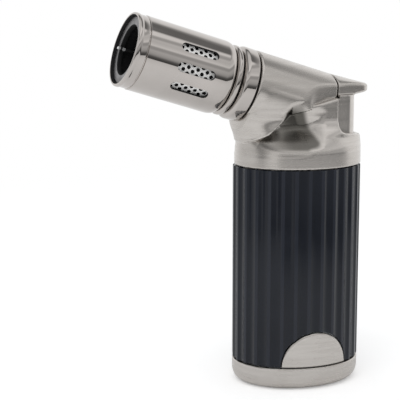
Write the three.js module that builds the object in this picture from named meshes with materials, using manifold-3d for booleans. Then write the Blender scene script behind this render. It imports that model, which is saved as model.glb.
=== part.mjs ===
// Pocket butane torch: an oval grip with a tilted burner, a press-down thumb button and a gas tank.
// Millimetres, +Z up. The nozzle points towards -X, and the origin is the middle of the base's underside.
import * as THREE from 'three';
import { mergeVertices } from 'three/addons/utils/BufferGeometryUtils.js';
import Module from 'manifold-3d';

const wasm = await Module();
wasm.setup();

// Gaps between pieces
const seamGap = 0.3;              // between outer pieces that meet edge to edge
const fitGap = 0.3;               // between inner pieces that seat in each other
const slideGap = 0.35;            // between the button and the head it slides in
const overrun = 1;                // how far a cutter reaches past what it cuts

// Oval body, base cup and fluted grip
const bodyHalfWidth = 19;
const bodyHalfDepth = 15.5;
const baseHeight = 6.6;
const baseEdgeRadius = 1.8;
const baseWall = 1.6;
const baseFloor = 2.4;
const gripLength = 56.8;
const gripWall = 1.5;
const fluteCount = 28;
const fluteDepth = 0.45;
const fluteLandShare = 0.22;      // part of each pitch that stays at the full oval
const fluteHollowShares = [0.25, 0.5, 0.75];       // where a flute's hollow has its corners
const flutePhaseShare = 0.33;     // part of a pitch from the +X end to the first land
const moonRadius = 9.9;
const moonGap = 0.35;

// Head casting: band, core, chin and rear housing
const bandHeight = 8;             // full oval band under the rear ledge
const flareStart = 4;             // height over the head's bottom where the sides start to draw in
const flareHeight = 9.8;
const coreHalfDepth = 10.2;
const bandFrontInset = 0.45;      // how far the band's front stays behind the grip's oval
const chinGrowth = 1.9;           // how far the chin comes forward over its height
const chinStart = 5;              // height over the head's bottom where the chin starts to come forward
const chinHeight = 9.5;
const coreSquareness = 4;         // superellipse power of the core's front half at its boxiest
const ovalPower = 2;              // superellipse power that gives a plain oval
const squareStart = 8;            // height over the head's bottom where the oval starts to turn boxy
const squareHeight = 9;
const chinSlope = 2.9;            // how steeply the chin's corners open out behind the collar seam
const notchShare = 0.44;          // place of the rear wall above the ledge, as a share of bodyHalfWidth
const shoulderFrontDrop = 0.67;   // the slanted shoulder's front end, under the burner axis at x = 0
const shoulderRearRise = 1.63;    // and its rear end, over it
const shoulderStart = -1.4;       // x where the full barrel ends and the tail starts
const scoopDepth = 2.5;           // how far a scoop goes in from the core's side
const scoopFrontShare = 0.35;     // and how much of that is left at the chin
const scoopRise = 9.2;            // height over which a scoop reaches its full depth
const scoopStart = 3.6;           // height over the head's bottom where a scoop starts
const spigotLength = 3.5;
const spigotWall = 1.3;
const spigotRearShare = 0.37;     // share of bodyHalfWidth past which the spigot leaves room for the button
const headWall = 2.2;
const cavityHeight = 4.2;
const chamberHalfDepth = 6;
const chamberFrontShare = 0.79;   // the chamber's ends, as shares of bodyHalfWidth
const chamberRearShare = 0.35;

// Barrel and nozzle, measured along the tilted burner axis
const barrelRadius = 10.5;
const axisRise = 17.57;           // burner axis at x = 0, over the head's bottom
const barrelTilt = THREE.MathUtils.degToRad(17.3);
const barrelLength = 17.2;
const barrelBore = 8.9;
const barrelBoreStart = -1;
const barrelEdgeRadius = 0.4;
const collarGap = 0.55;
const collarLength = 4.2;
const collarFlare = 1.1;
const collarShoulderShare = 0.45; // height of the flare's knee between neck and barrel radius
const neckRadius = 9.4;
const neckGroove = 0.35;
const beadLength = 1.95;
const beadRadius = 10.1;
const shellRearRound = 2.6;
const shellLength = 29.7;
const shellWall = 0.8;
const shellLipRound = 0.3;
const mouthBandLength = 3.1;
const mouthBandDip = 0.22;
const mouthGroove = 0.45;
const mouthGrooveDepth = 0.35;
const slotsPerSide = 3;
const slotSpread = THREE.MathUtils.degToRad(31.5);
const slotLength = 11.2;
const slotWidth = 2.6;
const slotPlace = 11.5;           // from the shell's rear to the middle of the slots
const slotDrop = THREE.MathUtils.degToRad(2.5);   // how far each side's slots sit below level

// Liner, flame tube, neck tube and burner
const linerOuter = 9.4;
const linerWall = 0.4;
const linerMargin = 1.2;
const linerHoleRadius = 0.5;
const linerHoleSpacing = 2.8;      // between holes of one row, along the axis
const linerRowStep = 0.85;        // between rows, round the axis
const linerHoleRows = 3;
const flameTubeBore = 7.7;
const flameTubeWall = 0.9;
const flameFlange = 1.3;
const flameRecess = 0.9;
const mouthBore = 7;              // the flame tube's lip, a little narrower than its bore
const neckTubeStart = 11.5;
const neckTubeReach = 6.4;         // how far the neck tube reaches into the shell
const jetDiscStart = 12;
const jetDiscThickness = 2.4;
const jetBlockRadius = 3.2;
const jetBlockLength = 6;
const jetTipRadius = 1.2;
const jetTipLength = 2;
const jetOrifice = 0.3;
const barbRadius = 1.05;
const barbBore = 0.5;
const jetBarbReach = 6.4;
const mixTubeRadius = 3;
const mixTubeWall = 0.6;
const mixTubeLength = 11;
const airHoleRadius = 1.1;
const burnerRadius = 4.7;
const burnerLength = 9;
const burnerFlangeThickness = 2;
const burnerHoleCount = 8;
const burnerHoleRadius = 0.45;
const burnerHoleMargin = 0.15;    // left between the flame holes and the wall of the mixing bore
const electrodeOffset = 6.2;      // from the burner axis towards +Y
const electrodeRadius = 0.45;
const electrodeProud = 0.1;       // past the shell's mouth
const insulatorRadius = 1.15;
const insulatorStart = 24;
const insulatorLength = 20;
const insulatorBore = 0.75;
const wireRadius = 0.55;
const wirePass = [5, 4.6];        // how far under the burner axis, and to its side, the wire passes at x = 0

// Thumb button
const wingSeamShare = 0.485;      // seam between the head's tail and the wing, at its foot
const seamLean = 0.3;             // how much further back the seam lies at the top line
const wingOverhang = 2.2;         // how far the wing stands out past the oval body
const wingEndRise = 4.93;         // the wing's heights over the burner axis at x = 0
const wingUnderFrontRise = 1.23;
const wingUnderRearRise = 2.93;
const tailHalfFront = 9.9;        // half width of the tail where it starts
const tailHalfSeam = 7.1;
const wingHalfEnd = 4.3;
const wingCornerRadius = 2;
const wingFlatShare = 0.85;       // how far the round top has turned flat at the wing's end
const skirtHalfWidth = 8;
const skirtWall = 1.4;
const skirtFlatShare = 0.605;     // where the skirt's straight sides turn into its round back
const skirtInset = 2.25;          // from the oval's rear end to the skirt's round back
const skirtRearDrop = 0.4;        // how far the round back reaches below the ledge
const footStartShare = 0.52;
const footEndShare = 0.655;
const footHeight = 1.5;

// Valve lever and its pin
const leverAngle = THREE.MathUtils.degToRad(14);   // above level at rest, below it when pressed
const pivotHeight = 61;
const leverReachShare = 0.58;
const leverTipRadius = 1.1;
const leverThickness = 1.6;
const leverHalfWidth = 7.9;
const leverSlotHalfWidth = 5.6;
const leverSlotStart = 2.4;
const leverFront = 6;
const forkHalfWidth = 1.4;
const hubRadius = 2;
const hubInnerHalf = 3.4;
const pinRadius = 1;
const earThickness = 1.6;
const earHalfLength = 3;
const earTopMargin = 2.3;

// Fuel tank, lid, gasket and gas valve
const tankWall = 1.3;
const tankFloor = 2;
const tankHeight = 43;
const gasketThickness = 1;
const gasketBand = 2.2;
const lidThickness = 2.5;
const lidSpigot = 3.5;
const valveOffset = 3.4;          // from the lever's pivot towards -X
const valveRadius = 3.4;
const valveNutRadius = 4.3;
const valveNutHeight = 2.2;
const valveTop = 57.6;
const valveBottom = 41;
const valveBore = 2.4;
const valveFloorThickness = 2;
const valveCap = 1.5;
const valveBarbDrop = 4;          // from the valve's top to its barb
const hoseShare = 0.67;           // place of the hose's upright run, as a share of bodyHalfWidth
const stemRadius = 0.9;
const stemFootRadius = 2;
const stemFootHeight = 1.4;
const stemFootLift = 1;
const stemCollarRadius = 2;
const stemCollarHeight = 0.8;
const hoseRadius = 1.2;
const hoseRiseShare = 0.75;       // how far up its way from the pivot the hose's upright run ends
const hoseBore = 0.6;

// Piezo igniter
const piezoShare = 0.635;
const piezoHalfLength = 3.1;
const piezoHalfWidth = 4;
const piezoTop = 66;
const piezoBore = 2.3;
const piezoBoreDepth = 13;
const plungerRadius = 2;
const plungerTop = 77.5;
const plungerDepth = 6.5;
const socketHeight = 5.5;
const socketWall = 1.1;

// Springs
const returnSpringRadius = 2.6;
const returnSpringWire = 0.35;
const returnSpringCurls = 5;
const valveSpringRadius = 1.6;
const valveSpringWire = 0.25;
const valveSpringCurls = 6;
const fillSpringRadius = 1.25;
const fillSpringWire = 0.2;
const fillSpringCurls = 5;

// Underside: refill valve, flame dial, base screws
const fittingShare = 0.45;        // places of the refill valve and the dial, as a share of bodyHalfWidth
const fillRadius = 2.9;
const fillRecess = 0.8;
const fillLength = 12;
const fillFlange = 1;
const fillBore = 1.7;
const fillCap = 1.2;
const fillPinRadius = 0.7;
const fillPinHead = 1.35;
const fillPinHeadHeight = 0.8;
const fillPinRecess = 1;
const fillPinSeatHeight = 4;
const dialRadius = 3.8;
const dialRecess = 0.6;
const dialTeeth = 12;
const dialToothDepth = 0.3;
const dialSlotWidth = 0.9;
const dialSlotDepth = 0.9;
const spindleRadius = 1.1;
const spindleHeight = 9;
const oRingRadius = 0.7;
const spindleSeatHeight = 3;
const feedTubeRadius = 1.3;
const feedTubeBore = 0.6;
const screwShare = 0.595;         // places of the base screws, as a share of bodyHalfDepth
const screwHeadRadius = 1.9;
const screwHeadHeight = 1.3;
const screwRadius = 0.9;
const screwLength = 4.2;
const screwSlotWidth = 0.5;
const screwSlotDepth = 0.5;

// Fineness of the facets
const ovalSides = 48;
const innerOvalSides = 32;
const barrelSides = 36;
const roundSides = 16;
const smallSides = 12;
const holeSides = 6;
const curlSides = 5;
const hoseSteps = 18;
const wireSteps = 26;
const feedTubeSteps = 12;
const stepsPerCurl = 8;
const arcSteps = 2000;            // fineness of the walk round an oval when its length is measured
const weldTolerance = 1e-5;

// Places across the body that follow from its half width and half depth
const notchPlace = notchShare * bodyHalfWidth;
const spigotRearCut = spigotRearShare * bodyHalfWidth;
const chamberFront = chamberFrontShare * bodyHalfWidth;
const chamberRear = chamberRearShare * bodyHalfWidth;
const wingSeam = wingSeamShare * bodyHalfWidth;
const wingEnd = bodyHalfWidth + wingOverhang;
const skirtFlatEnd = skirtFlatShare * bodyHalfWidth;
const skirtRear = bodyHalfWidth - skirtInset;
const footStart = footStartShare * bodyHalfWidth;
const footEnd = footEndShare * bodyHalfWidth;
const leverReach = leverReachShare * bodyHalfWidth;
const piezoMiddle = piezoShare * bodyHalfWidth;
const fillPlace = fittingShare * bodyHalfWidth;
const dialPlace = -fittingShare * bodyHalfWidth;
const screwPlace = screwShare * bodyHalfDepth;
const hoseBend = 2 * hoseRadius;
const hosePlace = -hoseShare * bodyHalfWidth;

// Heights that follow from the stack of pieces
const gripBottom = baseHeight + seamGap;
const gripTop = gripBottom + gripLength;
const headBottom = gripTop + seamGap;
const ledgeHeight = headBottom + bandHeight;
const axisHeight = headBottom + axisRise;
const shoulderFront = axisHeight - shoulderFrontDrop;
const shoulderRear = axisHeight + shoulderRearRise;
const wingEndTop = axisHeight + wingEndRise;
const wingUnderFront = axisHeight + wingUnderFrontRise;
const wingUnderRear = axisHeight + wingUnderRearRise;
const tankBottom = baseFloor + fitGap;
const tankTop = tankBottom + tankHeight;
const gasketBottom = tankTop + fitGap;
const lidBottom = gasketBottom + gasketThickness + fitGap;
const lidTop = lidBottom + lidThickness;
const valveBarbHeight = valveTop - valveBarbDrop;
const tankHalfWidth = bodyHalfWidth - baseWall - fitGap;
const tankHalfDepth = bodyHalfDepth - baseWall - fitGap;

// Places along the burner axis that follow from the stack of rings
const collarStart = barrelLength + collarGap;
const collarEnd = collarStart + collarLength;
const beadStart = collarEnd + neckGroove;
const beadEnd = beadStart + beadLength;
const shellStart = beadEnd + neckGroove;
const shellEnd = shellStart + shellLength;
const slotMiddle = shellStart + slotPlace;
const neckTubeOuter = barrelBore - fitGap;
const neckTubeEnd = shellStart + neckTubeReach;
const neckTubeBore = flameTubeBore;
const flameTubeStart = neckTubeEnd + fitGap;
const flameTubeEnd = shellEnd - flameRecess;
const flameTubeOuter = flameTubeBore + flameTubeWall;
const electrodeEnd = shellEnd + electrodeProud;
const shellBore = barrelRadius - shellWall;

// Lever and button heights that follow from the pivot
const leverTipTop = pivotHeight + leverReach * Math.sin(leverAngle) + leverTipRadius;
const footBottom = leverTipTop + fitGap;
const stemCollarBottom = pivotHeight + leverThickness / 2 + fitGap
  + (stemCollarRadius - valveOffset) * Math.tan(leverAngle)
  + (leverThickness / 2) * (1 / Math.cos(leverAngle) - 1);

const axisSlope = Math.tan(barrelTilt);
const axisZ = (x) => axisHeight - x * axisSlope;
const topZ = (x, y = 0) => axisZ(x) + Math.sqrt(barrelRadius ** 2 - y ** 2) / Math.cos(barrelTilt);

// Joins equal corners, drops collapsed triangles and turns the faces outwards.
function weld(geometry) {
  const bare = geometry.clone();
  bare.deleteAttribute('normal');
  bare.deleteAttribute('uv');
  const merged = mergeVertices(bare, weldTolerance);
  const corners = merged.attributes.position;
  const point = (i) => new THREE.Vector3().fromBufferAttribute(corners, i);
  const index = [];
  let volume = 0;
  for (let i = 0; i < merged.index.count; i += 3) {
    const [a, b, c] = [0, 1, 2].map((k) => merged.index.getX(i + k));
    if (a === b || b === c || c === a) continue;
    index.push(a, b, c);
    volume += point(a).dot(point(b).cross(point(c)));
  }
  if (volume < 0) index.reverse();
  merged.setIndex(index);
  return merged;
}

function toSolid(geometry) {
  const merged = weld(geometry);
  const mesh = new wasm.Mesh({
    numProp: 3,
    vertProperties: new Float32Array(merged.attributes.position.array),
    triVerts: new Uint32Array(merged.index.array),
  });
  return new wasm.Manifold(mesh);
}

function toGeometry(solid) {
  const mesh = solid.getMesh();
  const geometry = new THREE.BufferGeometry();
  geometry.setAttribute('position', new THREE.BufferAttribute(new Float32Array(mesh.vertProperties), 3));
  geometry.setIndex(new THREE.BufferAttribute(new Uint32Array(mesh.triVerts), 1));
  geometry.computeVertexNormals();
  return geometry;
}

const join = (first, ...others) => others.reduce((sum, piece) => sum.add(piece), first);
const cut = (first, ...others) => others.reduce((rest, piece) => rest.subtract(piece), first);

// Outline from a list of [x, y] places.
function outline(places) {
  return new THREE.Shape(places.map(([x, y]) => new THREE.Vector2(x, y)));
}

function ovalPlaces(halfWidth, halfDepth, sides = ovalSides) {
  const places = [];
  for (let i = 0; i < sides; i += 1) {
    const angle = (2 * Math.PI * i) / sides;
    places.push([halfWidth * Math.cos(angle), halfDepth * Math.sin(angle)]);
  }
  return places;
}

function extruded(shape, depth) {
  return new THREE.ExtrudeGeometry(shape, { depth, steps: 1, bevelEnabled: false });
}

// A plan outline raised from one height to another.
function upright(places, from, to) {
  return toSolid(extruded(outline(places), to - from).translate(0, 0, from));
}

// A side outline in X and Z, carried across the body in Y.
function sideways(places, fromY, toY) {
  return toSolid(extruded(outline(places), toY - fromY).rotateX(Math.PI / 2).translate(0, toY, 0));
}

// An end outline in Y and Z, carried along X.
function lengthways(places, fromX, toX) {
  const turn = new THREE.Matrix4().makeBasis(
    new THREE.Vector3(0, 1, 0), new THREE.Vector3(0, 0, 1), new THREE.Vector3(1, 0, 0));
  return toSolid(extruded(outline(places), toX - fromX).applyMatrix4(turn).translate(fromX, 0, 0));
}

function oval(halfWidth, halfDepth, from, to, sides = ovalSides) {
  return upright(ovalPlaces(halfWidth, halfDepth, sides), from, to);
}

function block(fromX, toX, fromY, toY, fromZ, toZ) {
  return upright([[fromX, fromY], [toX, fromY], [toX, toY], [fromX, toY]], fromZ, toZ);
}

// A turned piece round the Z axis from [radius, height] places, up the outside and down the inside.
function turned(places, sides = smallSides) {
  const profile = places.map(([radius, height]) => new THREE.Vector2(radius, height));
  if (places[0][0] > 0) profile.push(profile[0].clone());
  return toSolid(new THREE.LatheGeometry(profile, sides).rotateX(Math.PI / 2));
}

function rod(radius, from, to, sides = smallSides) {
  return turned([[0, from], [radius, from], [radius, to], [0, to]], sides);
}

function tube(outer, inner, from, to, sides = smallSides) {
  return turned([[outer, from], [outer, to], [inner, to], [inner, from]], sides);
}

// A rod of a given radius between two places.
function rodBetween(radius, start, end, sides = smallSides) {
  const from = new THREE.Vector3(...start);
  const along = new THREE.Vector3(...end).sub(from);
  const turn = new THREE.Quaternion()
    .setFromUnitVectors(new THREE.Vector3(0, 0, 1), along.clone().normalize());
  const matrix = new THREE.Matrix4().compose(from, turn, new THREE.Vector3(1, 1, 1));
  return rod(radius, 0, along.length(), sides).transform(matrix.elements);
}

// Skins a stack of rings that have equally many points, and closes both ends.
function loft(rings) {
  const count = rings[0].length;
  const places = rings.flat();
  const index = [];
  for (let k = 0; k + 1 < rings.length; k += 1) {
    for (let i = 0; i < count; i += 1) {
      const a = k * count + i;
      const b = k * count + ((i + 1) % count);
      index.push(a, b, b + count, a, b + count, a + count);
    }
  }
  const last = (rings.length - 1) * count;
  for (let i = 1; i + 1 < count; i += 1) {
    index.push(0, i + 1, i);
    index.push(last, last + i, last + i + 1);
  }
  const geometry = new THREE.BufferGeometry();
  geometry.setAttribute('position', new THREE.Float32BufferAttribute(places.flat(), 3));
  geometry.setIndex(index);
  return toSolid(geometry);
}

const mirrored = (solid) => join(solid, solid.mirror([0, 1, 0]));
const smooth = (t) => t * t * (3 - 2 * t);
const clamp01 = (t) => Math.min(1, Math.max(0, t));
const mix = (a, b, t) => a + (b - a) * t;

// The burner axis: its local +Z runs out through the nozzle, its local +X is the nozzle's top side.
const barrelPlace = new THREE.Vector3(0, 0, axisHeight);
const barrelTurn = new THREE.Euler(0, barrelTilt - Math.PI / 2, 0);
const barrelMatrix = new THREE.Matrix4().compose(
  barrelPlace, new THREE.Quaternion().setFromEuler(barrelTurn), new THREE.Vector3(1, 1, 1));
const onBarrel = (solid) => solid.transform(barrelMatrix.elements);
const barrelPoint = (up, side, along) => new THREE.Vector3(up, side, along).applyMatrix4(barrelMatrix);

// Angles on an oval at equal steps of arc, from shares of the whole way round.
function anglesByArc(halfWidth, halfDepth, shares) {
  const travelled = [0];
  for (let i = 1; i <= arcSteps; i += 1) {
    const middle = (2 * Math.PI * (i - 1 / 2)) / arcSteps;
    const speed = Math.hypot(halfWidth * Math.sin(middle), halfDepth * Math.cos(middle));
    travelled.push(travelled[i - 1] + speed);
  }
  let step = 0;
  return shares.map((share) => {
    const goal = share * travelled[arcSteps];
    while (step < arcSteps - 1 && travelled[step + 1] < goal) step += 1;
    while (step > 0 && travelled[step] > goal) step -= 1;
    const part = (goal - travelled[step]) / (travelled[step + 1] - travelled[step]);
    return (2 * Math.PI * (step + part)) / arcSteps;
  });
}

// Fluted outline: narrow lands at the full oval, and shallow hollows between them.
function flutedPlaces() {
  const pointShares = [0, fluteLandShare, ...fluteHollowShares.map((share) => mix(fluteLandShare, 1, share))];
  const roundShares = [];
  const depths = [];
  for (let i = 0; i < fluteCount; i += 1) {
    for (const share of pointShares) {
      const hollow = clamp01((share - fluteLandShare) / (1 - fluteLandShare));
      roundShares.push((i + share + flutePhaseShare - fluteLandShare / 2) / fluteCount);
      depths.push(fluteDepth * Math.sin(Math.PI * hollow));
    }
  }
  const angles = anglesByArc(bodyHalfWidth, bodyHalfDepth, roundShares.map((share) => share % 1));
  return angles.map((angle, i) => {
    const c = Math.cos(angle);
    const s = Math.sin(angle);
    const inward = depths[i] / Math.hypot(bodyHalfDepth * c, bodyHalfWidth * s);
    return [c * (bodyHalfWidth - inward * bodyHalfDepth), s * (bodyHalfDepth - inward * bodyHalfWidth)];
  });
}

// Half disc on the side wall, standing on the grip's lower edge.
function moonPlaces(radius, bottom) {
  const places = [];
  const steps = 24;
  for (let i = 0; i <= steps; i += 1) {
    const angle = (Math.PI * i) / steps;
    places.push([radius * Math.cos(angle), gripBottom + radius * Math.sin(angle)]);
  }
  places.push([-radius, bottom], [radius, bottom]);
  return places;
}

function baseCup() {
  const rings = [];
  const roundSteps = 3;
  for (let i = 0; i <= roundSteps; i += 1) {
    const angle = (Math.PI / 2) * (i / roundSteps);
    const inset = baseEdgeRadius * (1 - Math.sin(angle));
    const height = baseEdgeRadius * (1 - Math.cos(angle));
    rings.push(ovalPlaces(bodyHalfWidth - inset, bodyHalfDepth - inset).map(([x, y]) => [x, y, height]));
  }
  rings.push(ovalPlaces(bodyHalfWidth, bodyHalfDepth).map(([x, y]) => [x, y, baseHeight]));
  const pocket = oval(bodyHalfWidth - baseWall, bodyHalfDepth - baseWall, baseFloor, baseHeight + overrun);
  const fillHole = rod(fillRadius + fillFlange + fitGap, -overrun, baseFloor + overrun, roundSides)
    .translate(fillPlace, 0, 0);
  const dialHole = rod(dialRadius + fitGap, -overrun, baseFloor + overrun, roundSides)
    .translate(dialPlace, 0, 0);
  const screwHole = turned([[0, -overrun], [screwHeadRadius + fitGap, -overrun],
    [screwHeadRadius + fitGap, screwHeadHeight + fitGap], [screwRadius + fitGap, screwHeadHeight + fitGap],
    [screwRadius + fitGap, baseFloor + overrun], [0, baseFloor + overrun]]).translate(0, screwPlace, 0);
  return cut(loft(rings), pocket, fillHole, dialHole, mirrored(screwHole));
}

function gripSleeve() {
  const sleeve = upright(flutedPlaces(), gripBottom, gripTop);
  const bore = oval(bodyHalfWidth - gripWall, bodyHalfDepth - gripWall, gripBottom - overrun,
    gripTop + overrun);
  const window = sideways(moonPlaces(moonRadius + moonGap, gripBottom - overrun),
    -bodyHalfDepth - overrun, 0);
  return cut(sleeve, bore, window);
}

function halfMoonPlate() {
  const top = gripBottom + moonRadius + overrun;
  const wall = cut(oval(bodyHalfWidth, bodyHalfDepth, gripBottom, top),
    oval(bodyHalfWidth - gripWall, bodyHalfDepth - gripWall, baseHeight, top + overrun));
  return wall.intersect(sideways(moonPlaces(moonRadius, gripBottom), -bodyHalfDepth - overrun, 0));
}

// The D-shaped plan of the button's skirt, grown by a margin.
function skirtPlaces(margin) {
  const places = [[notchPlace + slideGap - margin, -skirtHalfWidth - margin]];
  const steps = 16;
  for (let i = 0; i <= steps; i += 1) {
    const angle = -Math.PI / 2 + (Math.PI * i) / steps;
    places.push([skirtFlatEnd + (skirtRear + margin - skirtFlatEnd) * Math.cos(angle),
      (skirtHalfWidth + margin) * Math.sin(angle)]);
  }
  places.push([notchPlace + slideGap - margin, skirtHalfWidth + margin]);
  return places;
}

function wingPlanHalf(x) {
  return mix(tailHalfFront, tailHalfSeam, (x - shoulderStart) / (wingSeam - shoulderStart));
}

// Rings of the core from bottom to top, drawn in by the scoop's depth for the scoop's floor.
function coreRings(depth) {
  const rings = [];
  const steps = 12;
  const drawTop = squareStart + squareHeight;
  const heights = [headBottom];
  for (let i = 0; i <= steps; i += 1) {
    heights.push(headBottom + mix(flareStart, drawTop, i / steps));
  }
  heights.push(axisHeight + barrelRadius);
  for (const height of heights) {
    const rise = height - headBottom;
    const inset = depth * smooth(clamp01((rise - scoopStart) / scoopRise));
    const squareness = smooth(clamp01((rise - squareStart) / squareHeight));
    const frontPower = mix(ovalPower, coreSquareness, squareness);
    const halfDepth = mix(bodyHalfDepth, coreHalfDepth, smooth(clamp01((rise - flareStart) / flareHeight)));
    const chin = chinGrowth * smooth(clamp01((rise - chinStart) / chinHeight)) - bandFrontInset;
    const ring = [];
    for (let i = 0; i < ovalSides; i += 1) {
      const angle = (2 * Math.PI * i) / ovalSides;
      const c = Math.cos(angle);
      const s = Math.sin(angle);
      const power = c < 0 ? frontPower : ovalPower;
      const halfWidth = bodyHalfWidth - inset * scoopFrontShare + (c < 0 ? chin : 0);
      ring.push([halfWidth * Math.sign(c) * Math.abs(c) ** (2 / power),
        (halfDepth - inset) * Math.sign(s) * Math.abs(s) ** (2 / power), height]);
    }
    rings.push(ring);
  }
  return rings;
}

// Core of the head: level sections that draw in from the oval body to the narrower, boxier core.
function headCore() {
  const seamMiddle = barrelPoint(0, 0, barrelLength);
  const seamFoot = headBottom - overrun;
  const side = [[seamMiddle.x - (seamMiddle.z - seamFoot) * axisSlope, seamFoot],
    [seamMiddle.x, seamMiddle.z], [shoulderStart, axisZ(shoulderStart)], [shoulderStart, shoulderFront],
    [notchPlace, shoulderRear], [notchPlace, ledgeHeight], [bodyHalfWidth + overrun, ledgeHeight],
    [bodyHalfWidth + overrun, seamFoot]];
  const chinReach = 3 * bodyHalfWidth;
  const chinCone = onBarrel(turned([[0, barrelLength - chinReach],
    [barrelRadius + chinSlope * chinReach, barrelLength - chinReach], [barrelRadius, barrelLength],
    [0, barrelLength]], barrelSides));
  return loft(coreRings(0)).intersect(sideways(side, -bodyHalfDepth - overrun, bodyHalfDepth + overrun))
    .intersect(chinCone);
}

// Side scoop: its rim on the outside and its floor's edge, as shares of the half body width in X
// and of the height from the head's bottom to the burner axis in Z. Up the rear edge, down the chin ridge.
const scoopRimShares = [[0.06, 0.2], [0.06, 0.31], [0.1, 0.43], [0.145, 0.57], [0.155, 0.72], [0.11, 0.84],
  [0.03, 0.92], [-0.07, 0.955], [-0.24, 0.99], [-0.42, 0.99], [-0.39, 0.84], [-0.48, 0.73], [-0.66, 0.565],
  [-0.86, 0.44], [-0.97, 0.37], [-1.03, 0.2]];
const scoopFloorShares = [[-0.07, 0.2], [-0.06, 0.31], [-0.045, 0.43], [-0.035, 0.57], [-0.055, 0.68],
  [-0.09, 0.77], [-0.12, 0.84], [-0.16, 0.91], [-0.24, 0.98], [-0.41, 0.98], [-0.36, 0.82], [-0.44, 0.71],
  [-0.61, 0.545], [-0.8, 0.42], [-0.91, 0.35], [-0.97, 0.2]];

function sideScoop() {
  const headRise = axisHeight - headBottom;
  const depthTop = coreHalfDepth - scoopDepth;
  const ring = (shares, y) => shares.map(([across, up]) =>
    [across * bodyHalfWidth, y, headBottom + up * headRise]);
  const funnel = loft([ring(scoopRimShares, -bodyHalfDepth - overrun), ring(scoopRimShares, -coreHalfDepth),
    ring(scoopFloorShares, -depthTop), ring(scoopFloorShares, -overrun)]);
  return funnel.subtract(loft(coreRings(scoopDepth)));
}

// Full barrel up to the tail, then the tail between its tapering side walls.
function barrelAndTail() {
  const reach = 2 * wingEnd;
  const edge = barrelEdgeRadius;
  const cylinder = onBarrel(turned([[0, -reach], [barrelRadius, -reach],
    [barrelRadius, barrelLength - edge], [barrelRadius - edge, barrelLength], [0, barrelLength]],
  barrelSides));
  const full = cylinder.intersect(block(-reach, shoulderStart, -reach, reach, 0, 2 * axisHeight));
  const seamTop = wingSeam + seamLean;
  const plan = [[shoulderStart - overrun, -tailHalfFront], [shoulderStart, -tailHalfFront],
    [seamTop, -wingPlanHalf(seamTop)], [seamTop, wingPlanHalf(seamTop)], [shoulderStart, tailHalfFront],
    [shoulderStart - overrun, tailHalfFront]];
  const side = [[shoulderStart - overrun, shoulderFront - overrun], [notchPlace, shoulderRear - overrun],
    [notchPlace, shoulderRear], [wingSeam, shoulderRear], [seamTop, topZ(seamTop)],
    [seamTop, topZ(seamTop) + barrelRadius],
    [shoulderStart - overrun, topZ(seamTop) + barrelRadius]];
  const tail = cylinder.intersect(upright(plan, 0, 2 * axisHeight)).intersect(sideways(side, -reach, reach));
  return join(full, tail);
}

function headCasting() {
  const cavity = oval(bodyHalfWidth - headWall, bodyHalfDepth - headWall, headBottom - overrun,
    headBottom + cavityHeight, innerOvalSides);
  const chamber = sideways([[-chamberFront, headBottom], [chamberRear, headBottom],
    [chamberRear, ledgeHeight + headWall], [chamberRear - headWall, shoulderFront - overrun],
    [chamberRear - chamberFront, axisHeight - overrun], [-chamberFront, ledgeHeight + headWall]],
  -chamberHalfDepth, chamberHalfDepth);
  const pocket = upright(skirtPlaces(slideGap), headBottom - overrun, ledgeHeight + overrun);
  const bore = onBarrel(rod(barrelBore, barrelBoreStart, barrelLength + overrun, barrelSides));
  const inset = gripWall + fitGap;
  const spigotBottom = headBottom - spigotLength;
  const spigot = cut(
    oval(bodyHalfWidth - inset, bodyHalfDepth - inset, spigotBottom, headBottom + overrun, innerOvalSides),
    oval(bodyHalfWidth - inset - spigotWall, bodyHalfDepth - inset - spigotWall, spigotBottom - overrun,
      headBottom + 2 * overrun, innerOvalSides),
    block(spigotRearCut, bodyHalfWidth, -bodyHalfDepth, bodyHalfDepth, spigotBottom - overrun,
      headBottom + 2 * overrun));
  const scoops = mirrored(sideScoop());
  const body = join(cut(headCore(), scoops), barrelAndTail());
  return join(cut(body, cavity, chamber, pocket, bore), spigot);
}

// Wing of the button: it carries on the barrel's round top and turns flat towards its end.
function wingBlank() {
  const rings = [];
  const steps = 8;
  const acrossSteps = 10;
  const front = wingSeam + slideGap;
  const topSlope = (wingEndTop - topZ(front)) / (wingEnd - front);
  for (let k = 0; k <= steps; k += 1) {
    const t = k / steps;
    const x = mix(front, wingEnd, t);
    const under = mix(wingUnderFront, wingUnderRear, t);
    const ring = [[x, -skirtHalfWidth, under], [x, skirtHalfWidth, under]];
    for (let i = 0; i <= acrossSteps; i += 1) {
      const y = mix(skirtHalfWidth, -skirtHalfWidth, i / acrossSteps);
      const crown = (topZ(0) - topZ(0, y)) * (1 - wingFlatShare * t);
      ring.push([x, y, topZ(front) + topSlope * (x - front) - crown]);
    }
    rings.push(ring);
  }
  return loft(rings);
}

function wingPlan() {
  const front = wingSeam + slideGap;
  const halfFront = wingPlanHalf(front);
  const places = [[front - overrun, -halfFront], [front, -halfFront]];
  const cornerSteps = 5;
  for (let side = -1; side <= 1; side += 2) {
    for (let i = 0; i <= cornerSteps; i += 1) {
      const turn = (Math.PI / 2) * (side < 0 ? i / cornerSteps : 1 - i / cornerSteps);
      places.push([wingEnd - wingCornerRadius * (1 - Math.sin(turn)),
        side * (wingHalfEnd - wingCornerRadius * (1 - Math.cos(turn)))]);
    }
  }
  places.push([front, halfFront], [front - overrun, halfFront]);
  return places;
}

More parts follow.
